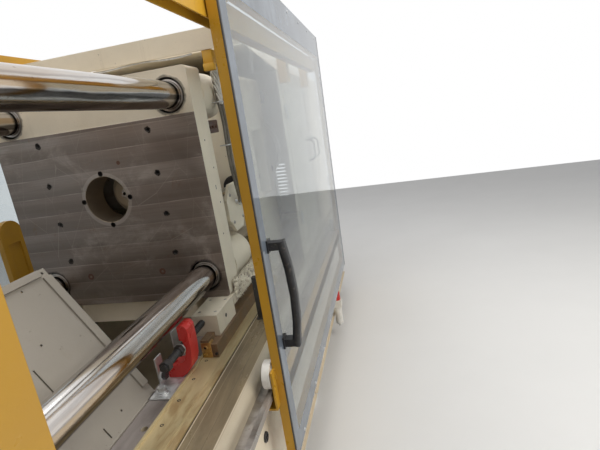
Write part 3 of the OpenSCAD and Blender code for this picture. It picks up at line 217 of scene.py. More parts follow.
def groundSteel(tree, look):
    # Ground plate: fine level grinding marks, broad level bands, wiped oil and rust bloom
    marks = cloud(tree, 0.0022, 3, 0.6, stretch=(1, 0.015, 1))
    bands = cloud(tree, 0.055, 4, 0.5, stretch=(0.4, 0.05, 1), shift=(0, 1, 3))
    color = mixColor(tree, fade(tree, bands, 0.36, 0.66), rgba(look["dark"], 1.45), rgba(look["color"]))
    level = calc(tree, "ADD", axesOf(tree)[2],
                 fade(tree, cloud(tree, 0.5, 3, 0.5), 0.2, 0.8, -0.004, 0.004))
    step = calc(tree, "FRACT", calc(tree, "MULTIPLY", level, 15.2))
    color = mixColor(tree, fade(tree, step, 0.0, 1.0, 0.42, 0), color, rgba(look["dark"], 0.9))
    worn = fade(tree, cloud(tree, 0.13, 4, 0.6, shift=(4, 4, 6)), 0.38, 0.66, 0.06, 0.55)
    line = calc(tree, "MULTIPLY", between(tree, step, 0.962, 1.2, 0.02), worn)
    color = mixColor(tree, line, color, rgba(look["pale"], 1.1))
    wipe = cloud(tree, 0.16, 6, 0.66, stretch=(1, 0.7, 1), shift=(2, 5, 1), warp=0.6)
    color = mixColor(tree, fade(tree, wipe, 0.50, 0.74, 0, 0.75), color, rgba(look["pale"]))
    color = mixColor(tree, fade(tree, marks, 0.42, 0.66, 0, 0.28), color, rgba(look["dark"]))
    rust = cloud(tree, 0.11, 8, 0.7, shift=(9, 2, 4), warp=0.9)
    rustFine = cloud(tree, 0.012, 5, 0.7, shift=(1, 4, 4))
    rustAmount = calc(tree, "MULTIPLY", fade(tree, rust, 0.54, 0.72), fade(tree, rustFine, 0.40, 0.62))
    color = mixColor(tree, calc(tree, "MULTIPLY", rustAmount, 0.62), color, rgba(look["stain"]))
    scratch = cells(tree, 0.09, "DISTANCE_TO_EDGE", (1, 1, 0.3), (0, 5, 2))["Distance"]
    color = mixColor(tree, fade(tree, scratch, 0.0, 0.006, 0.3, 0), color, rgba(look["pale"]))
    rough = fade(tree, wipe, 0.35, 0.7, 0.32, 0.55)
    return color, rough, marks


def awayFrom(tree, y, height, across, above):
    # Distance in the platen's plane from the nearest of the points that mirror (across, above)
    dy = calc(tree, "SUBTRACT", calc(tree, "ABSOLUTE", y), across)
    dz = calc(tree, "SUBTRACT", calc(tree, "ABSOLUTE", height), above)
    return calc(tree, "SQRT", calc(tree, "ADD", calc(tree, "MULTIPLY", dy, dy),
                                   calc(tree, "MULTIPLY", dz, dz)))


def castingMaterial(name, look, steel, facing, faceX, groundTop):
    # Painted casting whose mould face and bore are ground steel
    material, tree, shader = newMaterial(name)
    color, chips = paintColor(tree, look)
    x, y, z = axesOf(tree)
    ground, groundRough, marks = groundSteel(tree, steel)
    onFace = between(tree, x, faceX - 0.0011, faceX + 0.0011, 0.0003)
    outward = calc(tree, "MULTIPLY", normalsOf(tree)[0], facing)
    onFace = calc(tree, "MULTIPLY", onFace, fade(tree, outward, 0.5, 0.9))
    height = calc(tree, "SUBTRACT", z, zones["axis"])
    onFace = calc(tree, "MULTIPLY", onFace, fade(tree, z, groundTop - 0.0008, groundTop + 0.0008, 1, 0))
    radius = calc(tree, "SQRT", calc(tree, "ADD", calc(tree, "MULTIPLY", y, y),
                                     calc(tree, "MULTIPLY", height, height)))
    inBore = fade(tree, radius, holes["bore"] - 0.0003, holes["bore"] + 0.0007, 1, 0)
    fromTieLevel = calc(tree, "SUBTRACT", calc(tree, "ABSOLUTE", height), holes["tie"])
    nearTie = fade(tree, calc(tree, "ABSOLUTE", fromTieLevel), 0.02, 0.075, 1, 0)
    patches = fade(tree, cloud(tree, 0.3, 4, 0.6, (1, 0.4, 1)), 0.35, 0.6, 0.1, 0.5)
    shadow = calc(tree, "MULTIPLY", nearTie, patches)
    ground = mixColor(tree, shadow, ground, rgba(steel["dark"], 0.75))
    ring = between(tree, radius, holes["bore"] - 0.0015, holes["bore"] + 0.012, 0.0015)
    ground = mixColor(tree, calc(tree, "MULTIPLY", ring, 0.35), ground, rgba(steel["pale"], 1.1))
    ground = mixColor(tree, inBore, ground, rgba((0.30, 0.24, 0.175)))
    bare = calc(tree, "MAXIMUM", onFace, inBore)
    # Painted shade: near-black walls of the tie bar holes and the bore's four notches, and a dark rim round
    # each tie bar and bolt hole that is partly oil stain, partly painted shade
    edgeWobble = fade(tree, cloud(tree, 0.02, 4, 0.6), 0.35, 0.65, 0.0, 0.004)
    tieEdge, boltEdge, notchEdge = holes["tieRadius"], holes["boltRadius"], holes["notchRadius"]
    fromTie = awayFrom(tree, y, height, holes["tie"], holes["tie"])
    holeWallShade = fade(tree, fromTie, tieEdge - 0.0005, tieEdge + 0.0005, 1, 0)
    stainAndShadeHalo = fade(tree, calc(tree, "SUBTRACT", fromTie, edgeWobble), tieEdge - 0.0001, tieEdge + 0.0069, 0.7, 0)
    for across, above in ((holes["notch"], 0.0), (0.0, holes["notch"])):
        notch = awayFrom(tree, y, height, across, above)
        wall = fade(tree, notch, notchEdge - 0.0003, notchEdge + 0.0003, 1, 0)
        holeWallShade = calc(tree, "MAXIMUM", holeWallShade, wall)
    dark = calc(tree, "MAXIMUM", holeWallShade, stainAndShadeHalo)
    for above in (holes["boltOut"], holes["boltIn"]):
        rim = calc(tree, "SUBTRACT", awayFrom(tree, y, height, holes["boltOut"], above), edgeWobble)
        dark = calc(tree, "MAXIMUM", dark, fade(tree, rim, boltEdge - 0.0016, boltEdge + 0.0016, 1, 0))
    ground = mixColor(tree, dark, ground, rgba(holeShadeBlack))
    color = mixColor(tree, dark, color, rgba(holeShadeBlack))
    tree.links.new(mixColor(tree, bare, color, ground), shader.inputs["Base Color"])
    tree.links.new(calc(tree, "MULTIPLY", bare, 0.72), shader.inputs["Metallic"])
    smear = fade(tree, cloud(tree, 0.12, 5, 0.65, shift=(4, 4, 0)), 0.3, 0.75, 0.34, 0.56)
    rough = addNode(tree, "Mix", {0: bare, 2: smear, 3: groundRough}, data_type="FLOAT").outputs[0]
    tree.links.new(rough, shader.inputs["Roughness"])
    sand = cloud(tree, 0.005, 3, 0.6)
    bump = addNode(tree, "Mix", {0: bare, 2: calc(tree, "SUBTRACT", sand, chips),
                                 3: calc(tree, "MULTIPLY", marks, 0.12)}, data_type="FLOAT").outputs[0]
    relief(tree, shader, bump, 0.0006, 0.003)
    return material


def peelingMaterial(name, look, near, far):
    # Lifted paint: darkened to brown where the folds lie deepest, as painted shade in the folds, and pale on
    # the raised scales
    material, tree, shader = newMaterial(name)
    color = paintColor(tree, look)[0]
    out = calc(tree, "ADD", calc(tree, "ABSOLUTE", axesOf(tree)[1]),
               fade(tree, cloud(tree, 0.006, 4, 0.7), 0.3, 0.7, -0.0008, 0.0008))
    color = mixColor(tree, fade(tree, out, near, far, 0.92, 0), color, rgba(look["under"]))
    tree.links.new(color, shader.inputs["Base Color"])
    relief(tree, shader, cloud(tree, 0.005, 4, 0.7), 0.0012)
    return material


def bedMaterial(name, look):
    # Painted beam: bare grey ledge inside the way, a brown strip beside it that is oil film darkened further
    # as painted shade, and a rounded edge in the bed's darkened cream
    material, tree, shader = newMaterial(name)
    color, chips = paintColor(tree, look)
    y, z = axesOf(tree)[1:]
    side = calc(tree, "ABSOLUTE", y)
    top = calc(tree, "MULTIPLY", fade(tree, z, zones["bedTop"] - 0.006, zones["bedTop"] - 0.004),
               fade(tree, normalsOf(tree)[2], 0.6, 0.9))
    ledge = calc(tree, "MULTIPLY", top, fade(tree, side, zones["wayIn"] - 0.002, zones["wayIn"], 1, 0))
    beside = between(tree, side, zones["wayOut"] - 0.02, zones["bedEdge"], 0.003)
    flank = calc(tree, "MULTIPLY", top, beside)
    oil = cloud(tree, 0.15, 6, 0.62, (0.3, 1, 1), (2, 0, 0), 0.4)
    oilAndShade = mixColor(tree, fade(tree, oil, 0.35, 0.68), rgba((0.125, 0.094, 0.055)),
                    rgba((0.27, 0.215, 0.135)))
    speck = cells(tree, 0.028, "F1", (1, 1, 0.2), (1, 2, 0))["Distance"]
    speckZone = fade(tree, cloud(tree, 0.09, 3, 0.6, shift=(5, 1, 1)), 0.52, 0.62)
    specks = calc(tree, "MULTIPLY", fade(tree, speck, 0.06, 0.13, 1, 0), speckZone)
    oilAndShade = mixColor(tree, calc(tree, "MULTIPLY", specks, 0.85), oilAndShade, rgba((0.17, 0.09, 0.045)))
    grey = mixColor(tree, fade(tree, cloud(tree, 0.1, 5, 0.6, (0.3, 1, 1)), 0.35, 0.68),
                    rgba((0.17, 0.145, 0.135)), rgba((0.33, 0.295, 0.275)))
    for low, high, tone, amount in look["lines"]:
        line = calc(tree, "MULTIPLY", between(tree, side, low, high, 0.0007), amount)
        oilAndShade = mixColor(tree, line, oilAndShade, rgba((tone, tone * 0.86, tone * 0.66)))
    color = mixColor(tree, flank, color, oilAndShade)
    color = mixColor(tree, ledge, color, grey)
    tree.links.new(color, shader.inputs["Base Color"])
    tree.links.new(calc(tree, "MULTIPLY", ledge, 0.55), shader.inputs["Metallic"])
    dull = fade(tree, cloud(tree, 0.12, 5, 0.65, shift=(4, 4, 0)), 0.3, 0.75, 0.34, 0.56)
    wet = fade(tree, oil, 0.35, 0.65, 0.42, 0.20)
    rough = addNode(tree, "Mix", {0: flank, 2: dull, 3: wet}, data_type="FLOAT").outputs[0]
    tree.links.new(rough, shader.inputs["Roughness"])
    sand = cloud(tree, 0.005, 3, 0.6)
    relief(tree, shader, calc(tree, "SUBTRACT", calc(tree, "MULTIPLY", sand, 0.5), chips), 0.0005, 0.003)
    return material


def metalMaterial(name, look):
    # Bare metal: lathe, brush or drawing marks, an oil film in long smears, and stains
    material, tree, shader = newMaterial(name)
    stretch = look.get("stretch", (1, 1, 1))
    marks = cloud(tree, look.get("mark", 0.002), 3, 0.6, look.get("markStretch", (1, 1, 1)))
    smear = cloud(tree, look.get("patch", 0.08), 6, 0.62, stretch, (3, 1, 4), 0.4)
    color = mixColor(tree, fade(tree, smear, 0.34, 0.68), rgba(look["color"], 0.78), rgba(look["color"]))
    color = mixColor(tree, fade(tree, marks, 0.40, 0.70, 0, look.get("markMix", 0.25)), color,
                     rgba(look["dark"]))
    film = cloud(tree, look.get("filmSize", 0.16), 5, 0.6, stretch, (8, 2, 1), 0.5)
    filmAmount = fade(tree, film, 0.47, 0.70, 0, look.get("film", 0.5))
    color = mixColor(tree, filmAmount, color, rgba(look["stain"]))
    spots = cells(tree, look.get("spot", 0.02), "F1", (1, 1, 1), (2, 6, 1))["Distance"]
    zone = fade(tree, cloud(tree, 0.1, 4, 0.6, shift=(6, 3, 9)), 0.54, 0.64)
    spotAmount = calc(tree, "MULTIPLY", fade(tree, spots, 0.08, 0.16, 0.6, 0), zone)
    color = mixColor(tree, spotAmount, color, rgba(look["stain"], 0.6))
    if "bands" in look:
        # Painted reflections and shade in long bands round a bar, set by how far the surface faces up, their
        # edges wobbled by the oil film: gold-brown at its flanks, black just below, dim brown underneath,
        # grey on its upper side
        up = calc(tree, "ADD", normalsOf(tree)[2], fade(tree, film, 0.3, 0.7, -0.12, 0.12))
        for low, high, amount, tone in look["bands"]:
            color = mixColor(tree, calc(tree, "MULTIPLY", between(tree, up, low, high, 0.07), amount),
                             color, rgba(tone))
    tree.links.new(color, shader.inputs["Base Color"])
    shader.inputs["Metallic"].default_value = look.get("metallic", 1.0)
    rough = look.get("rough", 0.3)
    tree.links.new(fade(tree, smear, 0.3, 0.72, rough * 0.7, rough * 1.5), shader.inputs["Roughness"])
    relief(tree, shader, marks, look.get("depth", 0.0001), look.get("soften", 0.0012))
    return material


# Hard chrome of the bars; its bands are painted reflections and shade round each bar
chromeLook = {"color": (0.74, 0.715, 0.69), "dark": (0.32, 0.28, 0.25), "stain": (0.40, 0.27, 0.15),
              "rough": 0.13, "stretch": (0.12, 1, 1), "mark": 0.0015, "markStretch": (0.08, 1, 1),
              "markMix": 0.16, "film": 0.4, "filmSize": 0.07, "depth": 0.00002, "soften": 0.0,
              "bands": [(-0.14, 0.26, 0.62, (0.46, 0.30, 0.12)), (-0.56, -0.2, 0.85, (0.05, 0.04, 0.034)),
                        (-1.1, -0.64, 0.55, (0.20, 0.15, 0.10)), (0.5, 0.66, 0.35, (0.16, 0.14, 0.13))]}
turnedLook = {"color": (0.50, 0.47, 0.44), "dark": (0.20, 0.17, 0.15), "stain": (0.30, 0.19, 0.11),
              "rough": 0.36, "mark": 0.0018, "markStretch": (1, 0.05, 0.05)}
binLook = {"color": (0.72, 0.72, 0.73), "dark": (0.45, 0.45, 0.46), "stain": (0.55, 0.53, 0.50),
           "rough": 0.28, "mark": 0.0015, "markStretch": (1, 1, 0.02), "film": 0.35}
bronzeLook = {"color": (0.70, 0.47, 0.19), "dark": (0.28, 0.16, 0.05), "stain": (0.30, 0.17, 0.06),
              "rough": 0.3, "markStretch": (1, 0.05, 0.05)}
wayLook = {"color": (0.60, 0.49, 0.28), "dark": (0.44, 0.34, 0.18), "stain": (0.30, 0.18, 0.07),
           "metallic": 0.3, "rough": 0.46, "markMix": 0.12, "stretch": (0.25, 1, 1), "mark": 0.004,
           "markStretch": (0.05, 1, 1), "film": 0.75, "filmSize": 0.05, "spot": 0.012}


def zincMaterial(name):
    # Galvanised steel: pale spangle, dull white bloom, a few brown edges
    material, tree, shader = newMaterial(name)
    spangle = cells(tree, 0.012)["Color"]
    tone = fade(tree, addNode(tree, "SeparateColor", {0: spangle}).outputs[0], 0.0, 1.0, 0.0, 0.5)
    color = mixColor(tree, tone, rgba((0.52, 0.53, 0.54)), rgba((0.74, 0.75, 0.76)))
    bloom = fade(tree, cloud(tree, 0.05, 6, 0.65, shift=(3, 3, 0)), 0.48, 0.70, 0, 0.6)
    color = mixColor(tree, bloom, color, rgba((0.66, 0.65, 0.62)))
    rust = fade(tree, cloud(tree, 0.03, 7, 0.7, shift=(8, 0, 2)), 0.62, 0.72, 0, 0.6)
    color = mixColor(tree, rust, color, rgba((0.30, 0.17, 0.08)))
    tree.links.new(color, shader.inputs["Base Color"])
    shader.inputs["Metallic"].default_value = 0.8
    tree.links.new(fade(tree, tone, 0.0, 0.5, 0.34, 0.52), shader.inputs["Roughness"])
    relief(tree, shader, cloud(tree, 0.006, 3, 0.5), 0.0002, 0.0008)
    return material


def plasticMaterial(name, look):
    material, tree, shader = newMaterial(name)
    grain = cloud(tree, look.get("grain", 0.0012), 2, 0.6)
    hand = cloud(tree, 0.06, 5, 0.65, shift=(1, 1, 7))
    color = mixColor(tree, fade(tree, hand, 0.4, 0.7, 0, 0.6), rgba(look["color"]), rgba(look["worn"]))
    dust = fade(tree, cloud(tree, 0.01, 5, 0.7, shift=(2, 9, 3)), 0.56, 0.74, 0, 0.3)
    color = mixColor(tree, dust, color, rgba((0.34, 0.28, 0.21)))
    tree.links.new(color, shader.inputs["Base Color"])
    rough = look.get("rough", 0.4)
    tree.links.new(fade(tree, hand, 0.35, 0.7, rough * 0.8, rough * 1.35), shader.inputs["Roughness"])
    relief(tree, shader, grain, look.get("depth", 0.00015), look.get("soften", 0.001))
    return material


paneLook = {"tint": (0.60, 0.65, 0.67), "border": (0.13, 0.155, 0.19), "band": 0.05, "topBand": 0.116,
            "lowBand": 0.06}


def paneMaterial(name, look, low, high):
    # Clear sheet with a printed border, faint wiping marks and dust
    material, tree, shader = newMaterial(name)
    axes = axesOf(tree)
    x, z = axes[0], axes[2]
    inside = between(tree, x, low[0] + look["band"], high[0] - look["band"], 0.0006)
    level = between(tree, z, low[2] + look["lowBand"], high[2] - look["topBand"], 0.0006)
    inside = calc(tree, "MULTIPLY", inside, level)
    dust = fade(tree, cloud(tree, 0.25, 7, 0.7, shift=(3, 0, 2), warp=0.8), 0.50, 0.80, 0, 0.14)
    clear = calc(tree, "MULTIPLY", inside, calc(tree, "SUBTRACT", 1.0, dust))
    printed = mixColor(tree, fade(tree, cloud(tree, 0.2, 5, 0.6), 0.4, 0.7), rgba(look["border"]),
                       rgba(look["border"], 1.5))
    color = mixColor(tree, inside, printed, rgba(look["tint"]))
    tree.links.new(color, shader.inputs["Base Color"])
    tree.links.new(calc(tree, "MULTIPLY", clear, 0.97), shader.inputs["Transmission Weight"])
    tree.links.new(fade(tree, cloud(tree, 0.08, 6, 0.7, (1, 1, 0.5)), 0.45, 0.8, 0.02, 0.10),
                   shader.inputs["Roughness"])
    shader.inputs["IOR"].default_value = 1.45
    return material


def assign(material, names):
    for name in names:
        thing = nodes[name] if name in nodes else bpy.data.objects[name]
        thing.data.materials.clear()
        thing.data.materials.append(material)


cream = paintMaterial("creamPaint", creamLook)
yellow = paintMaterial("yellowPaint", yellowLook)
# The gates' yellow is a darker, browner copy of the frame's yellow with heavier grime; the darkening is
# painted shade
shadedGateYellow = paintMaterial("shadedGateYellow", dict(yellowLook, color=(0.54, 0.29, 0.02),
                                              grime=(0.22, 0.115, 0.02), film=0.6))
red = paintMaterial("redPaint", redLook)
blue = paintMaterial("bluePaint", blueLook)
black = paintMaterial("blackSteel", blackLook)
panelPaint = paintMaterial("sheetPaint", panelLook)
chrome = metalMaterial("hardChrome", chromeLook)
turned = metalMaterial("turnedSteel", turnedLook)
binSteel = metalMaterial("binSteel", binLook)
bronze = metalMaterial("bronze", bronzeLook)
wayBronze = metalMaterial("oiledWay", wayLook)
zinc = zincMaterial("galvanised")
handlePlastic = plasticMaterial("handlePlastic",
                                {"color": (0.010, 0.010, 0.012), "worn": (0.03, 0.03, 0.032),
                                 "rough": 0.42})
whitePlastic = plasticMaterial("whitePlastic",
                               {"color": (0.80, 0.79, 0.75), "worn": (0.66, 0.63, 0.57), "rough": 0.4})
redPlastic = plasticMaterial("redPlastic", {"color": (0.60, 0.03, 0.025), "worn": (0.42, 0.03, 0.025),
                                            "rough": 0.3})
greyPlastic = plasticMaterial("greyPlastic", {"color": (0.62, 0.60, 0.55), "worn": (0.52, 0.49, 0.44),
                                              "rough": 0.5})
hoseRubber = plasticMaterial("hoseRubber", {"color": (0.04, 0.04, 0.042), "worn": (0.09, 0.085, 0.08),
                                            "rough": 0.55})
wiperRubber = plasticMaterial("wiperRubber", {"color": (0.16, 0.10, 0.055), "worn": (0.30, 0.19, 0.10),
                                              "rough": 0.5, "depth": 0.0006, "grain": 0.004})
movingFinish = castingMaterial("movingPlatenFinish", creamLook, steelLook, 1.0, zones["face"],
                               zones["groundTop"])
fixedFinish = castingMaterial("fixedPlatenFinish", creamLook, steelLook, -1.0, zones["fixedFace"], 1.6)
bedFinish = bedMaterial("bedFinish", bedLook)
# Its under colour serves both the chips and the painted shade in the folds
peelingPaint = peelingMaterial("peelingPaint", dict(creamLook, under=(0.22, 0.15, 0.10)), 0.3860, 0.3886)

assign(cream,
       ["injection_bed", "lower_panels", "end_guard", "cross_beam", "rear_platen", "clamp_cylinder",
        "slide_shoes", "side_plates", "carriage", "barrel_guard", "crosshead", "purge_guard", "cabinet",
        "cabinet_door"])
assign(movingFinish, ["moving_platen"])
assign(fixedFinish, ["fixed_platen"])
assign(bedFinish, ["clamp_bed"])
assign(panelPaint, ["chute_panel"])
assign(yellow, ["guard_frame"])
assign(shadedGateYellow, ["rear_gate_frame", "front_gate_frame"])
assign(red, ["lock_bracket"])
assign(redPlastic, ["main_switch", "emergency_button", "regulator_knob"])
assign(chrome, ["tie_bars", "clamp_ram", "traverse_rods", "injection_rails"])
assign(turned, ["barrel", "screw", "ejector_plate", "heater_bands", "hopper_slide", "roller_tracks"])
assign(binSteel, ["hopper", "hopper_lid"])
assign(zinc, ["lock_angle", "levelling_feet"])
assign(black, ["tie_bar_bushes"])
assign(wayBronze, ["way_strips"])
assign(black, ["tie_bar_nuts", "traverse_cylinders", "lock_screws", "ejector_cylinders",
               "carriage_cylinders", "screw_motor"])
assign(blue, ["pump_motor"])
assign(wiperRubber, ["way_wipers"])
assign(hoseRubber, ["platen_hoses"])
assign(handlePlastic, ["rear_gate_handle", "front_gate_handle"])
assign(whitePlastic, ["rear_roller_front", "rear_roller_back", "front_roller_front", "front_roller_back",
                      "air_regulator"])
assign(greyPlastic, ["control_panel"])
for side in ("rear", "front"):
    low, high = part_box(side + "_gate_pane")
    assign(paneMaterial(side + "PaneGlass", paneLook, low, high), [side + "_gate_pane"])
print("materials on the frame")


# Detail pieces. Places are in millimetres from the middle of the moving platen's mould face
def at(x, y, z):
    return Vector((x - 700, y, z + 1150)) / 1000


def only(piece):
    bpy.ops.object.select_all(action="DESELECT")
    piece.select_set(True)
    bpy.context.view_layer.objects.active = piece


facingTurns = {"x": (0, math.pi / 2, 0), "-x": (0, -math.pi / 2, 0), "y": (-math.pi / 2, 0, 0),
               "-y": (math.pi / 2, 0, 0), "z": (0, 0, 0), "-z": (math.pi, 0, 0)}
# Edges that turn by more than this, in radians, are rounded and stay sharp in the shading
sharpAngle = 0.6


def soften(piece, width):
    only(piece)
    if width:
        bevel = piece.modifiers.new("edge", "BEVEL")
        bevel.width = width / 1000
        bevel.segments = 2
        bevel.limit_method = "ANGLE"
        bevel.angle_limit = sharpAngle
        bpy.ops.object.modifier_apply(modifier="edge")
    bpy.ops.object.shade_smooth_by_angle(angle=sharpAngle)


def turnedPiece(look):
    # A turned form: a circle extruded and resized through the (radius, height) steps of its profile
    steps = look["profile"]
    hollow = look.get("hollow", False)
    radius, height = steps[0]
    bpy.ops.object.select_all(action="DESELECT")
    bpy.ops.mesh.primitive_circle_add(vertices=look["sides"], radius=radius / 1000,
                                      fill_type="NOTHING" if hollow else "NGON",
                                      location=(0, 0, height / 1000))
    piece = bpy.context.object
    bpy.ops.object.transform_apply(location=True, rotation=True, scale=True)
    bpy.ops.object.mode_set(mode="EDIT")
    bpy.ops.mesh.select_mode(type="VERT")
    bpy.ops.mesh.select_all(action="SELECT")
    for nextRadius, nextHeight in steps[1:]:
        lift = (0, 0, (nextHeight - height) / 1000)
        bpy.ops.mesh.extrude_region_move(TRANSFORM_OT_translate={"value": lift})
        growth = nextRadius / radius
        bpy.ops.transform.resize(value=(growth, growth, 1), center_override=(0, 0, 0))
        radius, height = nextRadius, nextHeight
    bpy.ops.mesh.select_all(action="SELECT")
    bpy.ops.mesh.remove_doubles(threshold=1e-6)
    bpy.ops.mesh.normals_make_consistent(inside=False)
    bpy.ops.object.mode_set(mode="OBJECT")
    soften(piece, look.get("bevel", 0))
    return piece


def editFaces(piece, chosen):
    # Enters edit mode with just the chosen faces selected
    bpy.ops.object.mode_set(mode="EDIT")
    bpy.ops.mesh.select_mode(type="FACE")
    bpy.ops.mesh.select_all(action="DESELECT")
    bpy.ops.object.mode_set(mode="OBJECT")
    for polygon in piece.data.polygons:
        polygon.select = chosen(polygon)
    bpy.ops.object.mode_set(mode="EDIT")


def boxPiece(look):
    # A block between two corners, its edges rounded and, where asked, its broad face inset
    low, high = Vector(look["low"]), Vector(look["high"])
    bpy.ops.object.select_all(action="DESELECT")
    bpy.ops.mesh.primitive_cube_add(size=1, location=(low + high) / 2000, scale=(high - low) / 1000)
    piece = bpy.context.object
    bpy.ops.object.transform_apply(location=True, rotation=True, scale=True)
    if "inset" in look:
        normal = Vector(look["inset"]["normal"])
        editFaces(piece, lambda polygon: polygon.normal.dot(normal) > 0.9)
        bpy.ops.mesh.inset(thickness=look["inset"]["width"] / 1000, depth=look["inset"]["depth"] / 1000)
        bpy.ops.object.mode_set(mode="OBJECT")
    soften(piece, look["bevel"])
    return piece


def pipePiece(look):
    # A round pipe, cable or bar swept through its points
    bpy.ops.object.select_all(action="DESELECT")
    bpy.ops.curve.primitive_bezier_curve_add(location=(0, 0, 0))
    piece = bpy.context.object
    spline = piece.data.splines[0]
    spline.bezier_points.add(len(look["points"]) - 2)
    for point, spot in zip(spline.bezier_points, look["points"]):
        point.co = Vector(spot) / 1000
        point.handle_left_type = point.handle_right_type = "AUTO"
    piece.data.bevel_depth = look["radius"] / 1000
    piece.data.bevel_resolution = 3
    piece.data.resolution_u = look.get("steps", 8)
    piece.data.use_fill_caps = True
    only(piece)
    bpy.ops.object.convert(target="MESH")
    piece = bpy.context.object
    bpy.ops.object.shade_smooth_by_angle(angle=0.7)
    return piece


makers = {"turned": turnedPiece, "box": boxPiece, "pipe": pipePiece}


def block(low, high, bevel, **rest):
    return {"kind": "box", "low": low, "high": high, "bevel": bevel, **rest}


def lathe(profile, sides, **rest):
    return {"kind": "turned", "profile": profile, "sides": sides, **rest}


def pipe(radius, points, **rest):
    return {"kind": "pipe", "radius": radius, "points": points, **rest}


def settle(piece, name, body, material):
    piece.name = name
    piece.data.name = name
    piece.data.materials.clear()
    piece.data.materials.append(material)
    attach(piece, body)


def join(pieces):
    bpy.ops.object.select_all(action="DESELECT")
    for piece in pieces:
        piece.select_set(True)
    bpy.context.view_layer.objects.active = pieces[0]
    if len(pieces) > 1:
        bpy.ops.object.join()
    return pieces[0]


def group(look):
    # One joined piece: every form of every part, set at each of its places, mirrored where both sides have it
    made = []
    for part in look["parts"]:
        model = makers[part["kind"]](part)
        for spot in part.get("spots", [(0, 0, 0)]):
            facing = Euler(facingTurns[part.get("facing", "z")]).to_matrix().to_4x4()
            copied = model.copy()
            copied.data = model.data.copy()
            scene.collection.objects.link(copied)
            copied.data.transform(Matrix.Translation(at(*spot)) @ facing)
            made.append(copied)
        bpy.data.objects.remove(model)
    piece = join(made)
    if look.get("mirror"):
        twin = piece.copy()
        twin.data = piece.data.copy()
        scene.collection.objects.link(twin)
        twin.data.transform(Matrix.Diagonal((1, -1, 1, 1)))
        twin.data.flip_normals()
        piece = join([piece, twin])
    only(piece)
    settle(piece, look["name"], look["body"], look["material"])
    return piece


def grid(xs, ys, zs):
    return [(x, y, z) for x in xs for y in ys for z in zs]


def ring(count, first=0.0):
    return [first + index * math.tau / count for index in range(count)]


def circle(radius, angles, across=0.0, above=0.0):
    # Points at the angles round (across, above)
    return [(across + radius * math.cos(a), above + radius * math.sin(a)) for a in angles]


def capScrew(radius, height, **rest):
    # Socket cap screw: knurled head with a recessed socket
    profile = [(radius, 0), (radius, height * 0.86), (radius * 0.9, height), (radius * 0.52, height),
               (radius * 0.48, height * 0.45)]
    return lathe(profile, 20, **rest)


def hexHead(radius, height, **rest):
    return lathe([(radius, 0), (radius, height * 0.82), (radius * 0.84, height)], 6, **rest)


def washer(outer, inner, height, **rest):
    profile = [(outer, 0), (outer, height * 0.8), (outer - height * 0.3, height), (inner, height),
               (inner, 0), (outer, 0)]
    return lathe(profile, 28, hollow=True, **rest)


def panHead(radius, height, **rest):
    profile = [(radius, 0), (radius * 0.92, height * 0.5), (radius * 0.6, height * 0.9),
               (radius * 0.42, height), (radius * 0.3, height), (radius * 0.22, height * 0.35)]
    return lathe(profile, 16, **rest)


# Near-black steel of the dark screws and nuts, also used inside holes as painted shade
darkSteelAndHoleShade = paintMaterial("darkSteelAndHoleShade",
                          {"color": (0.022, 0.019, 0.017), "grime": (0.05, 0.035, 0.022), "film": 0.4,
                           "runs": 0.2, "rough": 0.5, "soften": 0.0008, "under": (0.09, 0.06, 0.04)})
# Brown of the plastic plugs, also used for the painted shade block on the platen's sides
plugAndShadeBrown = paintMaterial("plugAndShadeBrown",
                          {"color": (0.12, 0.055, 0.035), "grime": (0.05, 0.03, 0.02), "film": 0.5,
                           "runs": 0.2, "rough": 0.45, "soften": 0.001, "patch": 0.03})
hoseOlive = plasticMaterial("hoseOlive", {"color": (0.16, 0.14, 0.11), "worn": (0.30, 0.27, 0.22),
                                          "rough": 0.5})
cableWhite = plasticMaterial("cableWhite", {"color": (0.84, 0.82, 0.77), "worn": (0.58, 0.54, 0.48),
                                            "rough": 0.35})
screenGlass = plasticMaterial("screenGlass", {"color": (0.02, 0.028, 0.035),
                                              "worn": (0.05, 0.055, 0.06), "rough": 0.12})

# Planes and lines of the frame that the details stand on, in millimetres
bedTop = -506
deckTop = -410
coverTop = deckTop + 4
panelFace = 544
guardFace = 514
gateIn = 617
gateOut = 620
fieldFace = 541
doorFace = 658
screenFace = 664
fixedBack = 1200
tieHalf = 303
lockY = 330
lockZ = -408
crossX = 2890

# Threaded liners of the mould bolt holes, one dark thread ring after another; their near-black steel and the
# disc at each hole's bottom are painted shade inside the holes
threadSteps = [(7.4, -0.4), (6.2, -0.9)]
for turn in range(9):
    threadSteps += [(6.9, -1.7 - turn * 2.0), (6.1, -2.7 - turn * 2.0)]
threadSteps += [(6.1, -42), (7.4, -42), (7.4, -0.4)]
holeRows = grid((0,), (-210, 210), (-210, -70, 70, 210))
threads = lathe(threadSteps, 20, hollow=True)
bottoms = lathe([(7.3, -44), (7.3, -42.2), (4, -41.8)], 16)
for name, body, faceX, facing in (("movingThreads", "moving_platen", 0, "x"),
                                  ("fixedThreads", "frame", 1000, "-x")):
    spots = [(faceX, y, z) for x, y, z in holeRows]
    group({"name": name, "body": body, "material": darkSteelAndHoleShade, "parts": [
        dict(threads, spots=spots, facing=facing),
        dict(bottoms, spots=spots, facing=facing)]})

# Moving platen: brown plugs over jacking holes, a filled spot, edge holes, shoe screws and side plate bolts
group({"name": "platenPlugs", "body": "moving_platen", "material": plugAndShadeBrown, "parts": [
    lathe([(12, -0.2), (12, 0.15), (10.5, 0.35), (5, 0.35), (4, -0.1)], 28, facing="x",
          spots=grid((0,), (-145, 145), (-275,))),
    lathe([(7, -0.2), (7, 0.15), (5, 0.3)], 24, facing="x", spots=[(0, 77, 119)])]})
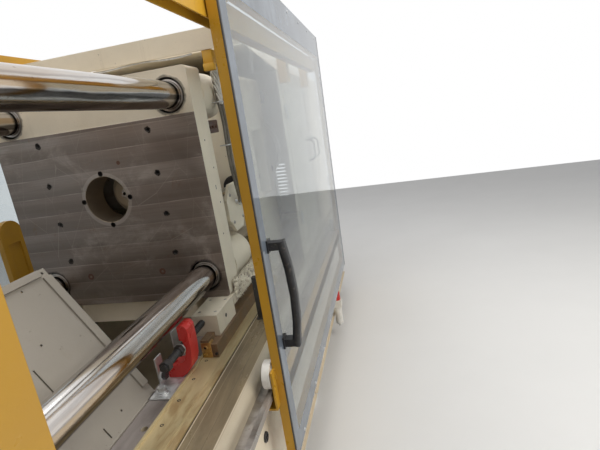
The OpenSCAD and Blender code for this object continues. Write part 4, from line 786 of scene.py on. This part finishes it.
# Small holes and a slot in the platen's sides and skid, drawn as near-black discs and a block: painted shade
# in the holes
group({"name": "platenEdgeHoles", "body": "moving_platen", "material": darkSteelAndHoleShade, "mirror": True,
       "parts": [
    block((-58.8, 379.4, -17), (-55.2, 380.25, -2), 0.3),
    lathe([(3.2, -0.4), (3.2, 0.1), (2.2, 0.25)], 16, facing="y",
          spots=[(-70, 380, 56), (-71, 380, -64), (-40, 380, 150), (-44, 380, -170)]),
    lathe([(7, -0.4), (7, 0.1), (5.6, 0.25), (5, -0.3)], 16, facing="y", spots=[(76, 384, -419)])]})
group({"name": "shoeScrews", "body": "moving_platen", "material": turned, "mirror": True, "parts": [
    panHead(6.4, 3.2, facing="z", spots=grid((24, 116), (313, 368), (-388,)))]})
group({"name": "sidePlateBolts", "body": "moving_platen", "material": turned, "mirror": True, "parts": [
    panHead(7, 4, facing="y", spots=[(x, 366, z) for x, z in
                                     circle(74, ring(4, math.pi / 4), -255, -118)])]})
# A dark brown bolted block on each side of the platen, where its side lies in shade between the ribs: painted
# shade
group({"name": "shadeBlock", "body": "moving_platen", "material": plugAndShadeBrown, "mirror": True, "parts": [
    block((-262, 262, 167.5), (-132, 350, 214), 3,
          inset={"normal": (0, 1, 0), "width": 6, "depth": -3}),
    hexHead(6, 7, facing="y", spots=[(x, 347, 190) for x in (-240, -210, -180, -150)])]})
group({"name": "scraperRings", "body": "moving_platen", "material": turned, "parts": [
    lathe([(49.6, 0), (49.6, 26.5), (48, 28.5), (43.4, 28.5), (42.9, 24), (42.9, 0), (49.6, 0)], 64,
          hollow=True, facing="x", spots=grid((-34,), (-tieHalf, tieHalf), (-tieHalf, tieHalf)))]})
group({"name": "ejectorCap", "body": "ejector", "material": cream, "parts": [
    lathe([(57, 0), (57, 5), (54, 8), (46, 9), (30, 7.5), (22.6, 7.5), (22.6, 0), (57, 0)], 48,
          hollow=True, facing="x", spots=[(-139.8, 0, 0)])]})
group({"name": "ejectorRing", "body": "ejector", "material": cream, "parts": [
    lathe([(78, 2), (78, 10), (74, 14), (60, 16), (58.4, 12), (58.4, 2), (78, 2)], 48, hollow=True,
          facing="x", spots=[(-168.2, 0, 0)])]})

# Way wipers: end blocks with screws, and a bronze block with its hole
group({"name": "wiperBlocks", "body": "moving_platen", "material": bronze, "mirror": True, "parts": [
    block((178, 338.5, -499.5), (203, 372, -449), 1.5),
    lathe([(8, -0.3), (8, 1.2), (7, 1.8), (4.4, 1.8), (4.0, -6), (8, -0.3)], 20, hollow=True,
          facing="x", spots=[(203, 352, -466)])]})
# The wiper screw, and a near-black disc in the mouth of the bronze block's hole as painted shade
group({"name": "wiperScrews", "body": "moving_platen", "material": darkSteelAndHoleShade, "mirror": True, "parts": [
    capScrew(4.5, 5, facing="x", spots=[(201, 386, -486)]),
    lathe([(4.2, 0.2), (4.2, 1.0), (3, 1.1)], 16, facing="x", spots=[(203, 352, -466)])]})

# Transport lock: washers, nuts and thread marks along the rod
group({"name": "lockThread", "body": "moving_platen", "material": black, "mirror": True, "parts": [
    lathe([(10, 0), (10.9, 1.3), (10.9, 1.7), (10, 3), (9.6, 1.5), (10, 0)], 20, hollow=True,
          facing="x", spots=[(x, lockY, lockZ) for x in range(150, 376, 4)])]})
group({"name": "lockWashers", "body": "moving_platen", "material": zinc, "mirror": True, "parts": [
    washer(17, 10.2, 3, facing="x", spots=[(302, lockY, lockZ), (244, lockY, lockZ)]),
    washer(15, 8, 2.5, facing="y", spots=[(320, 266, -480)])]})
group({"name": "lockNuts", "body": "moving_platen", "material": darkSteelAndHoleShade, "mirror": True, "parts": [
    lathe([(17, 0), (17, 13), (15.4, 15), (10.1, 15), (10.1, 0), (17, 0)], 6, hollow=True, bevel=0.4,
          facing="x", spots=[(305, lockY, lockZ), (227, lockY, lockZ)])]})

# Black buffer strip that stands on the bed behind the open gate
group({"name": "bufferStrip", "body": "frame", "material": hoseRubber, "mirror": True, "parts": [
    block((-72, 445, bedTop), (-52, 479, -342), 3),
    block((-86, 440, bedTop), (-50, 486, -500), 2)]})

# Gates: black gasket beside the stile, screws along the frame, bracket bolts and handle bolts
for side, sign, lead in (("rear", 1, 305), ("front", -1, 988)):
    body = side + "_gate"
    edges = [(lead - 7.8, lead - 0.2), (lead - 1650.0, lead - 1646.2)]
    y0, y1 = sorted((sign * (gateIn + 0.1), sign * (gateOut + 1)))
    group({"name": side + "GateGasket", "body": body, "material": hoseRubber, "parts": [
        block((x0, y0, -788), (x1, y1, 609), 0.8) for x0, x1 in edges]})
    face, inward = ("y", "-y") if sign > 0 else ("-y", "y")
    outer = [(x, sign * gateOut, z) for x in range(lead - 1560, lead - 60, 240) for z in (-775, 590)]
    group({"name": side + "GateScrews", "body": body, "material": zinc, "parts": [
        panHead(5.5, 2.6, facing=face, spots=outer)]})
    group({"name": side + "HandleBolts", "body": body, "material": darkSteelAndHoleShade, "parts": [
        hexHead(5, 4, facing=inward,
                spots=[(lead - 62 + d, sign * gateIn, z) for d in (-9, 9) for z in (-429, -143)])]})
    rollerZ = -500.3
    group({"name": side + "RollerBolts", "body": body, "material": darkSteelAndHoleShade, "parts": [
        hexHead(9.5, 7, facing=inward,
                spots=[(x, sign * 564, rollerZ) for x in (lead - 10, lead - 1590)]),
        hexHead(6.5, 5, facing="-z", spots=[(x + d, sign * 590, -592) for x in (lead - 10, lead - 1590)
                                            for d in (-18, 20)])]})


# Old paint that has lifted in wrinkled scales along the skid's upper edge
peeledLook = {"middle": (-176, 386.6, -377), "length": 0.30, "height": 0.092, "columns": 150, "rows": 46,
              "film": 0.0007, "whole": 0.62, "ragged": 0.36,
              "folds": [("fold", 0.02, 0.014, 0.42, "CLOUDS"), ("scale", 0.010, 0.007, 0.3, "VORONOI")]}


def wrinkle(piece, name, size, strength, middle, kind):
    texture = bpy.data.textures.new(name, kind)
    texture.noise_scale = size
    modifier = piece.modifiers.new(name, "DISPLACE")
    modifier.texture = texture
    modifier.strength = strength
    modifier.mid_level = middle
    modifier.direction = "Y"
    modifier.texture_coords = "LOCAL"
    bpy.ops.object.modifier_apply(modifier=name)


def peeledPaint(look):
    middle = at(*look["middle"])
    bpy.ops.object.select_all(action="DESELECT")
    bpy.ops.mesh.primitive_grid_add(x_subdivisions=look["columns"], y_subdivisions=look["rows"], size=1,
                                    location=middle, rotation=(math.pi / 2, 0, 0))
    piece = bpy.context.object
    piece.scale = (look["length"], look["height"], 1)
    bpy.ops.object.transform_apply(location=True, rotation=True, scale=True)
    bpy.ops.object.mode_set(mode="EDIT")
    bpy.ops.mesh.select_all(action="SELECT")
    bpy.ops.transform.vertex_random(offset=0.0009, uniform=0.6, normal=0.6, seed=3)
    bpy.ops.object.mode_set(mode="OBJECT")
    for fold in look["folds"]:
        wrinkle(piece, *fold)

    def fallen(polygon):
        # Scales that have fallen off leave a ragged edge above and below
        along = (polygon.center.x - middle.x) / look["length"] + 0.5
        column = max(0, min(look["columns"], int(along * look["columns"])))
        edge = 0.5 + 0.5 * math.sin(column * 1.7) * math.cos(column * 0.63)
        return abs(polygon.center.z - middle.z) / (look["height"] / 2) > look["whole"] + look["ragged"] * edge

    editFaces(piece, fallen)
    bpy.ops.mesh.delete(type="FACE")
    bpy.ops.object.mode_set(mode="OBJECT")
    thick = piece.modifiers.new("film", "SOLIDIFY")
    thick.thickness = look["film"]
    bpy.ops.object.modifier_apply(modifier="film")
    bpy.ops.object.shade_smooth_by_angle(angle=0.5)
    settle(piece, "peeledPaint", "moving_platen", peelingPaint)


peeledPaint(peeledLook)
print("details of the mould space")


# Hoses and cables clipped down the moving platen's side, on the route of the CAD solids, in millimetres
def smoothRoute(points, steps):
    route = []
    for index in range(len(points) - 1):
        a, b = Vector(points[max(index - 1, 0)]), Vector(points[index])
        c, d = Vector(points[index + 1]), Vector(points[min(index + 2, len(points) - 1)])
        for step in range(steps):
            t = step / steps
            route.append(0.5 * (2 * b + (c - a) * t + (2 * a - 5 * b + 4 * c - d) * t * t
                                + (3 * b - a - 3 * c + d) * t ** 3))
    return [at(*spot) for spot in route + [Vector(points[-1])]]


hoses = {
    "platenHose": {"radius": 0.007, "points": [
        (-204, 398.6, 372), (-201, 398.6, 330), (-199, 399.5, 285), (-208, 402, 207), (-191, 405, 128),
        (-195, 404, 36), (-228, 400, -35), (-262, 392, -88), (-286, 380, -110), (-286, 367.8, -110)]},
    "platenConduit": {"radius": 0.005, "points": [
        (-176, 396, 372), (-176, 396, 330), (-178, 397, 285), (-186, 400, 207), (-172, 403, 128),
        (-174, 402, 50), (-198, 398, -20), (-228, 391, -70), (-256, 380, -101), (-256, 367.4, -101)]},
}


def makeHose(name, look):
    route = smoothRoute(look["points"], 4)
    bpy.ops.object.select_all(action="DESELECT")
    bpy.ops.curve.primitive_nurbs_path_add(location=(0, 0, 0))
    piece = bpy.context.object
    spline = piece.data.splines[0]
    spline.type = "POLY"
    spline.points.add(len(route) - len(spline.points))
    for point, spot in zip(spline.points, route):
        point.co = (*spot, 1)
    piece.data.bevel_depth = look["radius"]
    piece.data.bevel_resolution = 4
    piece.data.use_fill_caps = True
    settle(piece, name, "moving_platen", hoseOlive)
    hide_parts("platen_hoses")


for name, look in hoses.items():
    makeHose(name, look)

strands = []
for index in range(7):
    points = []
    for step in range(10):
        turn = index * math.tau / 7 + step * 0.55
        wide = 19 - 9 * (step / 9) ** 2
        points.append((-190 + wide * math.cos(turn), 398.5 + 8.5 * math.sin(turn), 384 - step * 13.5))
    strands.append(pipe(3.5, points))
group({"name": "cableBundle", "body": "moving_platen", "material": cableWhite, "parts": strands})
group({"name": "hoseClips", "body": "moving_platen", "material": zinc, "parts": [
    block((-214, 380, 268), (-166, 411, 272), 1),
    block((-218, 380, 382.5), (-162, 413, 386.5), 1),
    block((-204, 380, 118), (-162, 413, 122), 1),
    lathe([(11, 0), (11, 6), (9, 8), (9, 13)], 6, facing="y", spots=[(-286, 366, -110)]),
    lathe([(9, 0), (9, 5), (7, 7), (7, 12)], 6, facing="y", spots=[(-256, 366, -101)])]})
group({"name": "beamBracket", "body": "frame", "material": yellow, "parts": [
    block((-78, 415, 361), (-56, 452, 383), 2),
    block((-118, 415, 383), (-64, 448, 424), 2)]})
group({"name": "beamBolts", "body": "frame", "material": zinc, "mirror": True, "parts": [
    hexHead(7, 5, facing="x", spots=grid((-60,), (505, 533), (442, 470))),
    pipe(3, [(-70, y, 420 - 3 * math.sin(y / 40)) for y in range(20, 420, 40)])]})


# Bed, guards and panels
panelStarts = [-1816 + i * 747.5 for i in range(4)]
panelSpots = [(x0 + dx, panelFace, z) for x0 in panelStarts for dx in (26, 370, 713) for z in (-1000, -635)]
group({"name": "panelScrews", "body": "frame", "material": zinc, "mirror": True, "parts": [
    panHead(7, 3.4, facing="y", spots=panelSpots)]})
latch = [(15, 0), (15, 4), (13, 6), (9.5, 6), (8.5, 3.2)]
group({"name": "panelLatches", "body": "frame", "material": handlePlastic, "mirror": True, "parts": [
    lathe(latch, 28, facing="y", spots=[(x0 + dx, panelFace, -680) for x0 in panelStarts
                                        for dx in (90, 650)]),
    block((-7, -2.2, 3), (7, 2.2, 7.5), 0.6, facing="y",
          spots=[(x0 + dx, panelFace, -680) for x0 in panelStarts for dx in (90, 650)])]})
group({"name": "wayScrews", "body": "frame", "material": darkSteelAndHoleShade, "mirror": True, "parts": [
    lathe([(5.2, -0.6), (5.2, 0.12), (4.4, 0.2), (2.6, 0.2), (2.2, -0.4)], 16, facing="z",
          spots=[(x, 355, -500) for x in range(-440, 970, 94)]),
    capScrew(6, 6, facing="z", spots=[(x, 309, bedTop) for x in (-430, -400, 965)])]})
group({"name": "trackBolts", "body": "frame", "material": black, "mirror": True, "parts": [
    hexHead(7, 5, facing="y", spots=[(x, 546, -580) for x in range(-1320, 1000, 155)])]})
group({"name": "trackStops", "body": "frame", "material": hoseRubber, "mirror": True, "parts": [
    lathe([(12, 0), (12, 6), (10, 9), (9, 16), (6, 18)], 24, facing="x", spots=[(-1349, 579, -532)])]})
group({"name": "feetNuts", "body": "frame", "material": zinc, "mirror": True, "parts": [
    lathe([(29, 0), (29, 15), (26, 18), (16.1, 18), (16.1, 0), (29, 0)], 6, hollow=True, bevel=0.5,
          facing="z", spots=[(x, 440, z) for z in (-1110, -1080)
                             for x in (-1760, -1385, -440, 640, 1130, 1900, 3160)])]})

guardSheets = [(-1790, -1275), (-1235, -720)]
group({"name": "guardDoors", "body": "frame", "material": cream, "mirror": True, "parts": [
    block((x0, 510, -440), (x1, 513, 330), 0.8, inset={"normal": (0, 1, 0), "width": 16, "depth": 1.2})
    for x0, x1 in guardSheets]})
group({"name": "guardScrews", "body": "frame", "material": zinc, "mirror": True, "parts": [
    panHead(6, 3, facing="y", spots=[(x, guardFace, z) for x0, x1 in guardSheets
                                     for x in (x0 + 26, x1 - 26) for z in (-414, -170, 60, 304)]),
    panHead(6, 3, facing="-x", spots=grid((-1850,), (150, 330), (-430, -380, -70, 240)))]})
pulls = [pipe(6, [(x, guardFace, -70), (x, 545, -58), (x, 550, -10), (x, 545, 38), (x, guardFace, 50)])
         for x in (-1330, -1180)]
group({"name": "guardPulls", "body": "frame", "material": handlePlastic, "mirror": True, "parts": pulls + [
    lathe([(11, 0), (11, 3), (8, 5)], 20, facing="y",
          spots=grid((-1330, -1180), (guardFace,), (-70, 50)))]})
group({"name": "guardHinges", "body": "frame", "material": zinc, "mirror": True, "parts": [
    lathe([(7, 0), (7, 60), (6, 62), (3, 64)], 16, facing="z",
          spots=[(x, 517, z) for x in (-1796, -714) for z in (-330, 180)])]})
group({"name": "guardEyes", "body": "frame", "material": black, "parts": [
    lathe([(22, 0), (22, 5), (12, 8), (9, 14)], 24, facing="z",
          spots=grid((-1780, -740), (-300, 300), (530,))),
    pipe(6, [(0, -1, 10), (0, -19, 26), (0, 0, 44), (0, 19, 26), (0, 1, 10)], steps=6,
         spots=grid((-1780, -740), (-300, 300), (530,)))]})
group({"name": "roofSeams", "body": "frame", "material": cream, "parts": [
    block((x - 14, -365, 529.5), (x + 14, 365, 533), 1) for x in (-1835, -1255, -675)]})

# Yellow frame: buffers, end caps, bolts and gate switches
group({"name": "railBuffers", "body": "frame", "material": hoseRubber, "mirror": True, "parts": [
    lathe([(16, 0), (16, 5), (13, 8), (12, 18), (8, 21)], 28, facing="-x",
          spots=[(990, 568, 350), (990, 568, -300)]),
    block((-1354, 549, 425), (-1349, 587, 486), 2)]})
group({"name": "postBolts", "body": "frame", "material": zinc, "mirror": True, "parts": [
    hexHead(9, 6, facing="y", spots=[(1020, 588, -570), (1060, 588, -570)]),
    hexHead(8, 6, facing="x", spots=[(1090, 568, 455), (1090, 568, 520), (1090, 568, -380)]),
    hexHead(8, 6, facing="z", spots=[(x, 568, 487)
                                     for x in (-1290, -1160, -900, -500, 200, 700, 1010)])]})
group({"name": "gateSwitches", "body": "frame", "material": greyPlastic, "mirror": True, "parts": [
    block((900, 552, 376), (968, 584, 424), 4),
    block((908, 551, 384), (944, 585, 416), 2),
    lathe([(9, 0), (9, 8), (7, 10), (6, 20)], 20, facing="-x", spots=[(900, 568, 400)])]})
print("details of the bed and guards")


# Injection side
group({"name": "platenBackBolts", "body": "frame", "material": black, "parts": [
    capScrew(11, 12, facing="x", spots=grid((fixedBack,), (-340, 340), (-120, 0, 120))
             + grid((fixedBack,), (-110, 110), (-330, 330)))]})
lockSpots = grid((fixedBack,), (-tieHalf, tieHalf), (-tieHalf, tieHalf))
group({"name": "nutClamps", "body": "frame", "material": turned, "parts": [
    block((fixedBack, y + s * 96 - 16, z - 16), (1222, y + s * 96 + 16, z + 16), 2)
    for x, y, z in lockSpots for s in (-1, 1)]})
group({"name": "clampScrews", "body": "frame", "material": black, "parts": [
    capScrew(8, 8, facing="x", spots=[(1222, y + s * 100, z) for x, y, z in lockSpots
                                      for s in (-1, 1)])]})
group({"name": "deckPlates", "body": "frame", "material": cream, "parts": [
    block((1290, -510, deckTop), (1980, -300, coverTop), 1),
    block((1290, 300, deckTop), (1980, 510, coverTop), 1)]})
group({"name": "deckScrews", "body": "frame", "material": zinc, "parts": [
    panHead(6, 3, facing="z", spots=grid((1310, 1640, 1960), (-490, -320, 320, 490), (coverTop,))),
    capScrew(6, 6, facing="z", spots=grid(range(1260, 3190, 120), (-210, 210), (-360,)))]})
group({"name": "cableTrunk", "body": "frame", "material": panelPaint, "parts": [
    block((1240, 455, coverTop), (2116, 515, -352), 2,
          inset={"normal": (0, 0, 1), "width": 5, "depth": 1.5}),
    block((1216, 455, coverTop), (1240, 515, -120), 2)]})
group({"name": "fieldPanels", "body": "frame", "material": cream, "parts": [
    block((x0 + 12, -fieldFace, -968), (x0 + 588, -534, -512), 1.2,
          inset={"normal": (0, -1, 0), "width": 14, "depth": 1.6})
    for x0 in (1260, 1900)]})
fieldSpots = [(x0 + dx, -fieldFace - 1, z) for x0 in (1260, 1900) for dx in (30, 300, 570)
              for z in (-950, -530)]
group({"name": "fieldScrews", "body": "frame", "material": zinc, "parts": [
    panHead(7, 3.4, facing="-y", spots=fieldSpots)]})
group({"name": "oilGauge", "body": "frame", "material": black, "parts": [
    block((1450, -552, -700), (1486, -fieldFace, -560), 3),
    hexHead(9, 6, facing="-y", spots=[(1468, -552, -572), (1468, -552, -688)])]})
group({"name": "oilGlass", "body": "frame", "material": bronze, "parts": [
    pipe(7, [(1468, -553, -676), (1468, -554, -630), (1468, -553, -584)])]})
group({"name": "ratingPlate", "body": "frame", "material": zinc, "parts": [
    block((1960, -545.5, -640), (2110, -542.6, -550), 0.8,
          inset={"normal": (0, -1, 0), "width": 5, "depth": -0.5}),
    panHead(3, 1.6, facing="-y", spots=[(x, -545.5, z) for x in (1966, 2104) for z in (-634, -556)])]})
group({"name": "fillerCap", "body": "frame", "material": black, "parts": [
    lathe([(38, 0), (38, 6), (30, 9), (30, 34), (34, 36), (34, 52), (30, 58), (12, 60)], 40, facing="z",
          spots=[(1420, -400, coverTop)])]})

# Valve block on the deck, its valves and steel pipes
group({"name": "valveBlock", "body": "frame", "material": turned, "parts": [
    block((2450, -440, deckTop), (2760, -330, -330), 3),
    capScrew(8, 9, facing="z", spots=grid((2468, 2605, 2742), (-428, -342), (-330,))),
    lathe([(14, 0), (14, 10), (11, 12), (11, 22)], 6, facing="-y",
          spots=[(x, -440, -370) for x in (2500, 2560, 2650, 2710)])]})
group({"name": "valves", "body": "frame", "material": blue, "parts": [
    block((x, -418, -330), (x + 46, -352, -276), 3) for x in (2482, 2582, 2682)]})
group({"name": "valveCoils", "body": "frame", "material": black, "parts": [
    block((x + 2, y, -324), (x + 44, y + 52, -280), 5)
    for x in (2482, 2582, 2682) for y in (-470, -352)]})
group({"name": "deckPipes", "body": "frame", "material": zinc, "parts": [
    pipe(10, [(2500, -462, -370), (2500, -500, -372), (2500, -512, -390), (2500, -514, -409)]),
    pipe(10, [(2560, -462, -370), (2560, -500, -372), (2560, -512, -390), (2560, -514, -409)]),
    pipe(8, [(2450, -385, -370), (2300, -385, -370), (1900, -385, -372), (1400, -388, -380),
             (1250, -388, -384), (1206, -300, -386), (1204, -206, -330), (1206, -168, -262)])]})

# Heater terminals and their leads, under the slotted guard
bandStarts = [1295 + i * 150 for i in range(5)]
group({"name": "bandTerminals", "body": "carriage", "material": whitePlastic, "parts": [
    block((x + 36, -13, 94), (x + 84, 13, 103), 3) for x in bandStarts]})
group({"name": "bandBolts", "body": "carriage", "material": darkSteelAndHoleShade, "parts": [
    capScrew(4, 4, facing="z", spots=[(x + dx, 0, 103) for x in bandStarts for dx in (46, 74)])]})
group({"name": "bandLeads", "body": "carriage", "material": hoseOlive, "parts": [
    pipe(4, [(x + 60, 13, 98), (x + 66, 40, 98), (x + 90, 62, 84), (x + 150, 74, 76), (2085, 78, 74)])
    for x in bandStarts]})

# Carriage: covers, screws, and the rods and pipes of the injection cylinders
rodPlaces = circle(64, ring(4, math.pi / 4), 190)
group({"name": "carriageCovers", "body": "carriage", "material": cream, "mirror": True, "parts": [
    block((2110, 280, -160), (2320, 285, 60), 1.2,
          inset={"normal": (0, 1, 0), "width": 12, "depth": 1.4})]})
group({"name": "carriageScrews", "body": "carriage", "material": black, "mirror": True, "parts": [
    capScrew(5, 5, facing="y", spots=[(x, 286, z) for x in (2122, 2308) for z in (-148, 48)]),
    capScrew(10, 10, facing="-x", spots=grid((2080,), (120, 230), (70,)) + [(2080, 236, -60)]),
    hexHead(10, 9, facing="x", spots=[(2680, y, z) for y, z in rodPlaces])]})
rods = [pipe(7, [(x, y, z) for x in (2350, 2500, 2656)]) for y, z in rodPlaces]
group({"name": "cylinderRods", "body": "carriage", "material": zinc, "mirror": True, "parts": rods + [
    pipe(8, [(2400, 190, 66), (2400, 190, 96), (2420, 190, 112), (2600, 190, 112), (2632, 190, 100),
             (2640, 190, 80), (2640, 190, 64)]),
    lathe([(14, 0), (14, 8), (11, 11), (11, 18)], 6, facing="z",
          spots=[(2400, 190, 64), (2640, 190, 64)])]})
group({"name": "coolingHoses", "body": "carriage", "material": hoseRubber, "mirror": True, "parts": [
    pipe(7, [(2180, 95, 146), (2180, 128, 150), (2176, 160, 138), (2170, 176, 118)])]})
group({"name": "hopperFlangeBolts", "body": "carriage", "material": black, "parts": [
    hexHead(8, 6, facing="z", spots=grid((2112, 2308), (-96, 96), (222,)))]})
group({"name": "hopperWindow", "body": "carriage", "material": screenGlass, "parts": [
    block((2192, -176.5, 520), (2228, -168, 690), 2)]})
group({"name": "hopperBands", "body": "carriage", "material": zinc, "parts": [
    block((2184, -175.5, 510), (2236, -170, 700), 2),
    block((2034, -14, 560), (2042, 14, 600), 2)]})

# Screw drive, pump fittings and the fan grille
group({"name": "crossheadBolts", "body": "crosshead", "material": black, "parts": [
    capScrew(9, 9, facing="x", spots=[(crossX + 90, y, z) for y, z in circle(84, ring(8))]),
    lathe([(70, 0), (70, 3), (58, 6), (20, 8)], 48, facing="x", spots=[(crossX + 165, 0, 0)]),
    lathe([(16, 0), (16, 10), (12, 13), (12, 24)], 6, facing="z",
          spots=[(crossX + 112, 0, 105), (crossX + 144, 0, 105)])]})
group({"name": "pumpFittings", "body": "frame", "material": zinc, "parts": [
    lathe([(30, 0), (30, 10), (22, 14), (22, 34)], 6, facing="z", spots=[(2685, -190, -742)]),
    pipe(17, [(2685, -190, -715), (2685, -190, -640), (2685, -180, -600), (2685, -150, -585)]),
    lathe([(9, 0), (9, 4), (7, 6)], 20, facing="z", spots=grid((2825, 2915), (-238, -142), (-650,)))]})
fins = []
for k in range(-8, 9):
    half = 105 * math.cos(math.asin(k / 9))
    fins.append(block((3090, -190 - half, -825 + k * 12), (3094, -190 + half, -820 + k * 12), 1))
group({"name": "fanGrille", "body": "frame", "material": black, "parts": fins})

# Cabinet: door locks, grip, label plate and cable glands
group({"name": "doorFittings", "body": "cabinet_door", "material": handlePlastic, "parts": [
    lathe(latch, 28, facing="y", spots=[(2152, doorFace, -880), (2152, doorFace, -640)]),
    block((2145, doorFace, -800), (2163, 676, -700), 4)]})
group({"name": "doorPlates", "body": "cabinet_door", "material": zinc, "parts": [
    block((2420, doorFace, -560), (2560, doorFace + 1.6, -480), 0.6,
          inset={"normal": (0, 1, 0), "width": 4, "depth": -0.4}),
    panHead(3, 1.6, facing="y", spots=[(x, doorFace + 1.6, z) for x in (2426, 2554)
                                       for z in (-554, -486)])]})
group({"name": "cabinetGlands", "body": "frame", "material": greyPlastic, "parts": [
    lathe([(13, 0), (13, 8), (10, 11), (10, 20), (6, 24)], 6, facing="z",
          spots=[(x, 560, deckTop) for x in (2200, 2250, 2300, 2350)])]})

# Control panel: glass, bezel, keys, lamps and back screws
group({"name": "panelGlass", "body": "control_panel", "material": screenGlass, "parts": [
    block((1363, -662, 293), (1657, -660.1, 507), 0.8)]})
bezel = [(1352, 508, 1668, 520), (1352, 280, 1668, 292), (1352, 292, 1362, 508), (1658, 292, 1668, 508)]
group({"name": "panelBezel", "body": "control_panel", "material": handlePlastic, "parts": [
    block((x0, -screenFace - 3, z0), (x1, -664.1, z1), 1.4) for x0, z0, x1, z1 in bezel]})
group({"name": "panelKeys", "body": "control_panel", "material": whitePlastic, "parts": [
    block((1375 + i * 40, -screenFace - 3, 183 + k * 38), (1399 + i * 40, -665.1, 207 + k * 38), 1.2,
          inset={"normal": (0, -1, 0), "width": 3, "depth": -0.5})
    for i in range(7) for k in range(2)]})
group({"name": "panelLamps", "body": "control_panel", "material": redPlastic, "parts": [
    lathe([(6, 0), (6, 3), (4, 5), (1.5, 6)], 20, facing="-y",
          spots=[(x, -screenFace, 120) for x in (1390, 1430, 1470)])]})
group({"name": "panelBackScrews", "body": "control_panel", "material": zinc, "parts": [
    panHead(5, 2.5, facing="y", spots=grid((1350, 1690), (-602,), (84, 536)))]})

# Purge guard window and screws, bolts of the clamp cylinder
group({"name": "purgeScrews", "body": "purge_guard", "material": zinc, "parts": [
    panHead(4, 2.2, facing="z", spots=grid((1262, 1380, 1505), (-114, 114), (160,)))]})
group({"name": "purgePane", "body": "purge_guard", "material": screenGlass, "slot": "clear_pane",
       "parts": [
    block((1274, -104, 154), (1494, 104, 156.6), 0.5)]})
group({"name": "cylinderBolts", "body": "frame", "material": black, "parts": [
    capScrew(14, 14, facing="x", spots=[(-500, y, z) for y, z in circle(
        330, (0.25, -0.25, math.pi - 0.25, math.pi + 0.25))])]})
print("details of the injection side")


# Plain pale floor and soft light from above and from both sides
stage = {"floor": 14.0, "floorColor": (0.80, 0.80, 0.80), "world": 0.34}


def makeStage():
    bpy.ops.object.select_all(action="DESELECT")
    bpy.ops.mesh.primitive_plane_add(size=stage["floor"], location=(0, 0, 0))
    floor = bpy.context.object
    floor.name = "floor"
    material, tree, shader = newMaterial("floorFinish")
    soft = cloud(tree, 0.8, 4, 0.6)
    color = mixColor(tree, fade(tree, soft, 0.3, 0.7), rgba(stage["floorColor"]),
                     rgba(stage["floorColor"], 1.03))
    tree.links.new(color, shader.inputs["Base Color"])
    shader.inputs["Roughness"].default_value = 0.8
    floor.data.materials.append(material)
    world = bpy.data.worlds.new("studio")
    scene.world = world
    world.use_nodes = True
    tree = world.node_tree
    tree.nodes.clear()
    path = addNode(tree, "LightPath").outputs
    seen = calc(tree, "MAXIMUM", path["Is Camera Ray"], path["Is Glossy Ray"])
    seen = calc(tree, "MAXIMUM", seen, path["Is Transmission Ray"])
    strength = fade(tree, seen, 0.0, 1.0, stage["world"], 1.0)
    background = addNode(tree, "Background", {0: (1, 1, 1, 1), 1: strength})
    output = tree.nodes.new("ShaderNodeOutputWorld")
    tree.links.new(background.outputs[0], output.inputs[0])


lamps = [{"name": "key", "place": (-0.5, 3.6, 3.5), "aim": (-0.6, 0.0, 0.8), "size": 2.4, "power": 92,
          "color": (1.0, 0.955, 0.87)},
         {"name": "overhead", "place": (-0.6, -0.2, 4.3), "aim": (-0.5, 0.0, 0.8), "size": 3.0,
          "power": 95, "color": (0.97, 0.985, 1.0)},
         {"name": "window", "place": (2.8, -2.6, 2.8), "aim": (-0.4, 0.0, 0.9), "size": 2.6,
          "power": 20, "color": (1.0, 0.98, 0.95)}]


def makeLamps():
    for lamp in lamps:
        data = bpy.data.lights.new(lamp["name"], "AREA")
        data.shape = "SQUARE"
        data.size = lamp["size"]
        data.energy = lamp["power"]
        data.color = lamp["color"]
        light = bpy.data.objects.new(lamp["name"], data)
        scene.collection.objects.link(light)
        aim = Vector(lamp["aim"]) - Vector(lamp["place"])
        turn = aim.to_track_quat("-Z", "Y").to_matrix().to_4x4()
        light.matrix_world = Matrix.Translation(lamp["place"]) @ turn


makeStage()
makeLamps()
scene.view_settings.view_transform = "Standard"
print("stage and light")
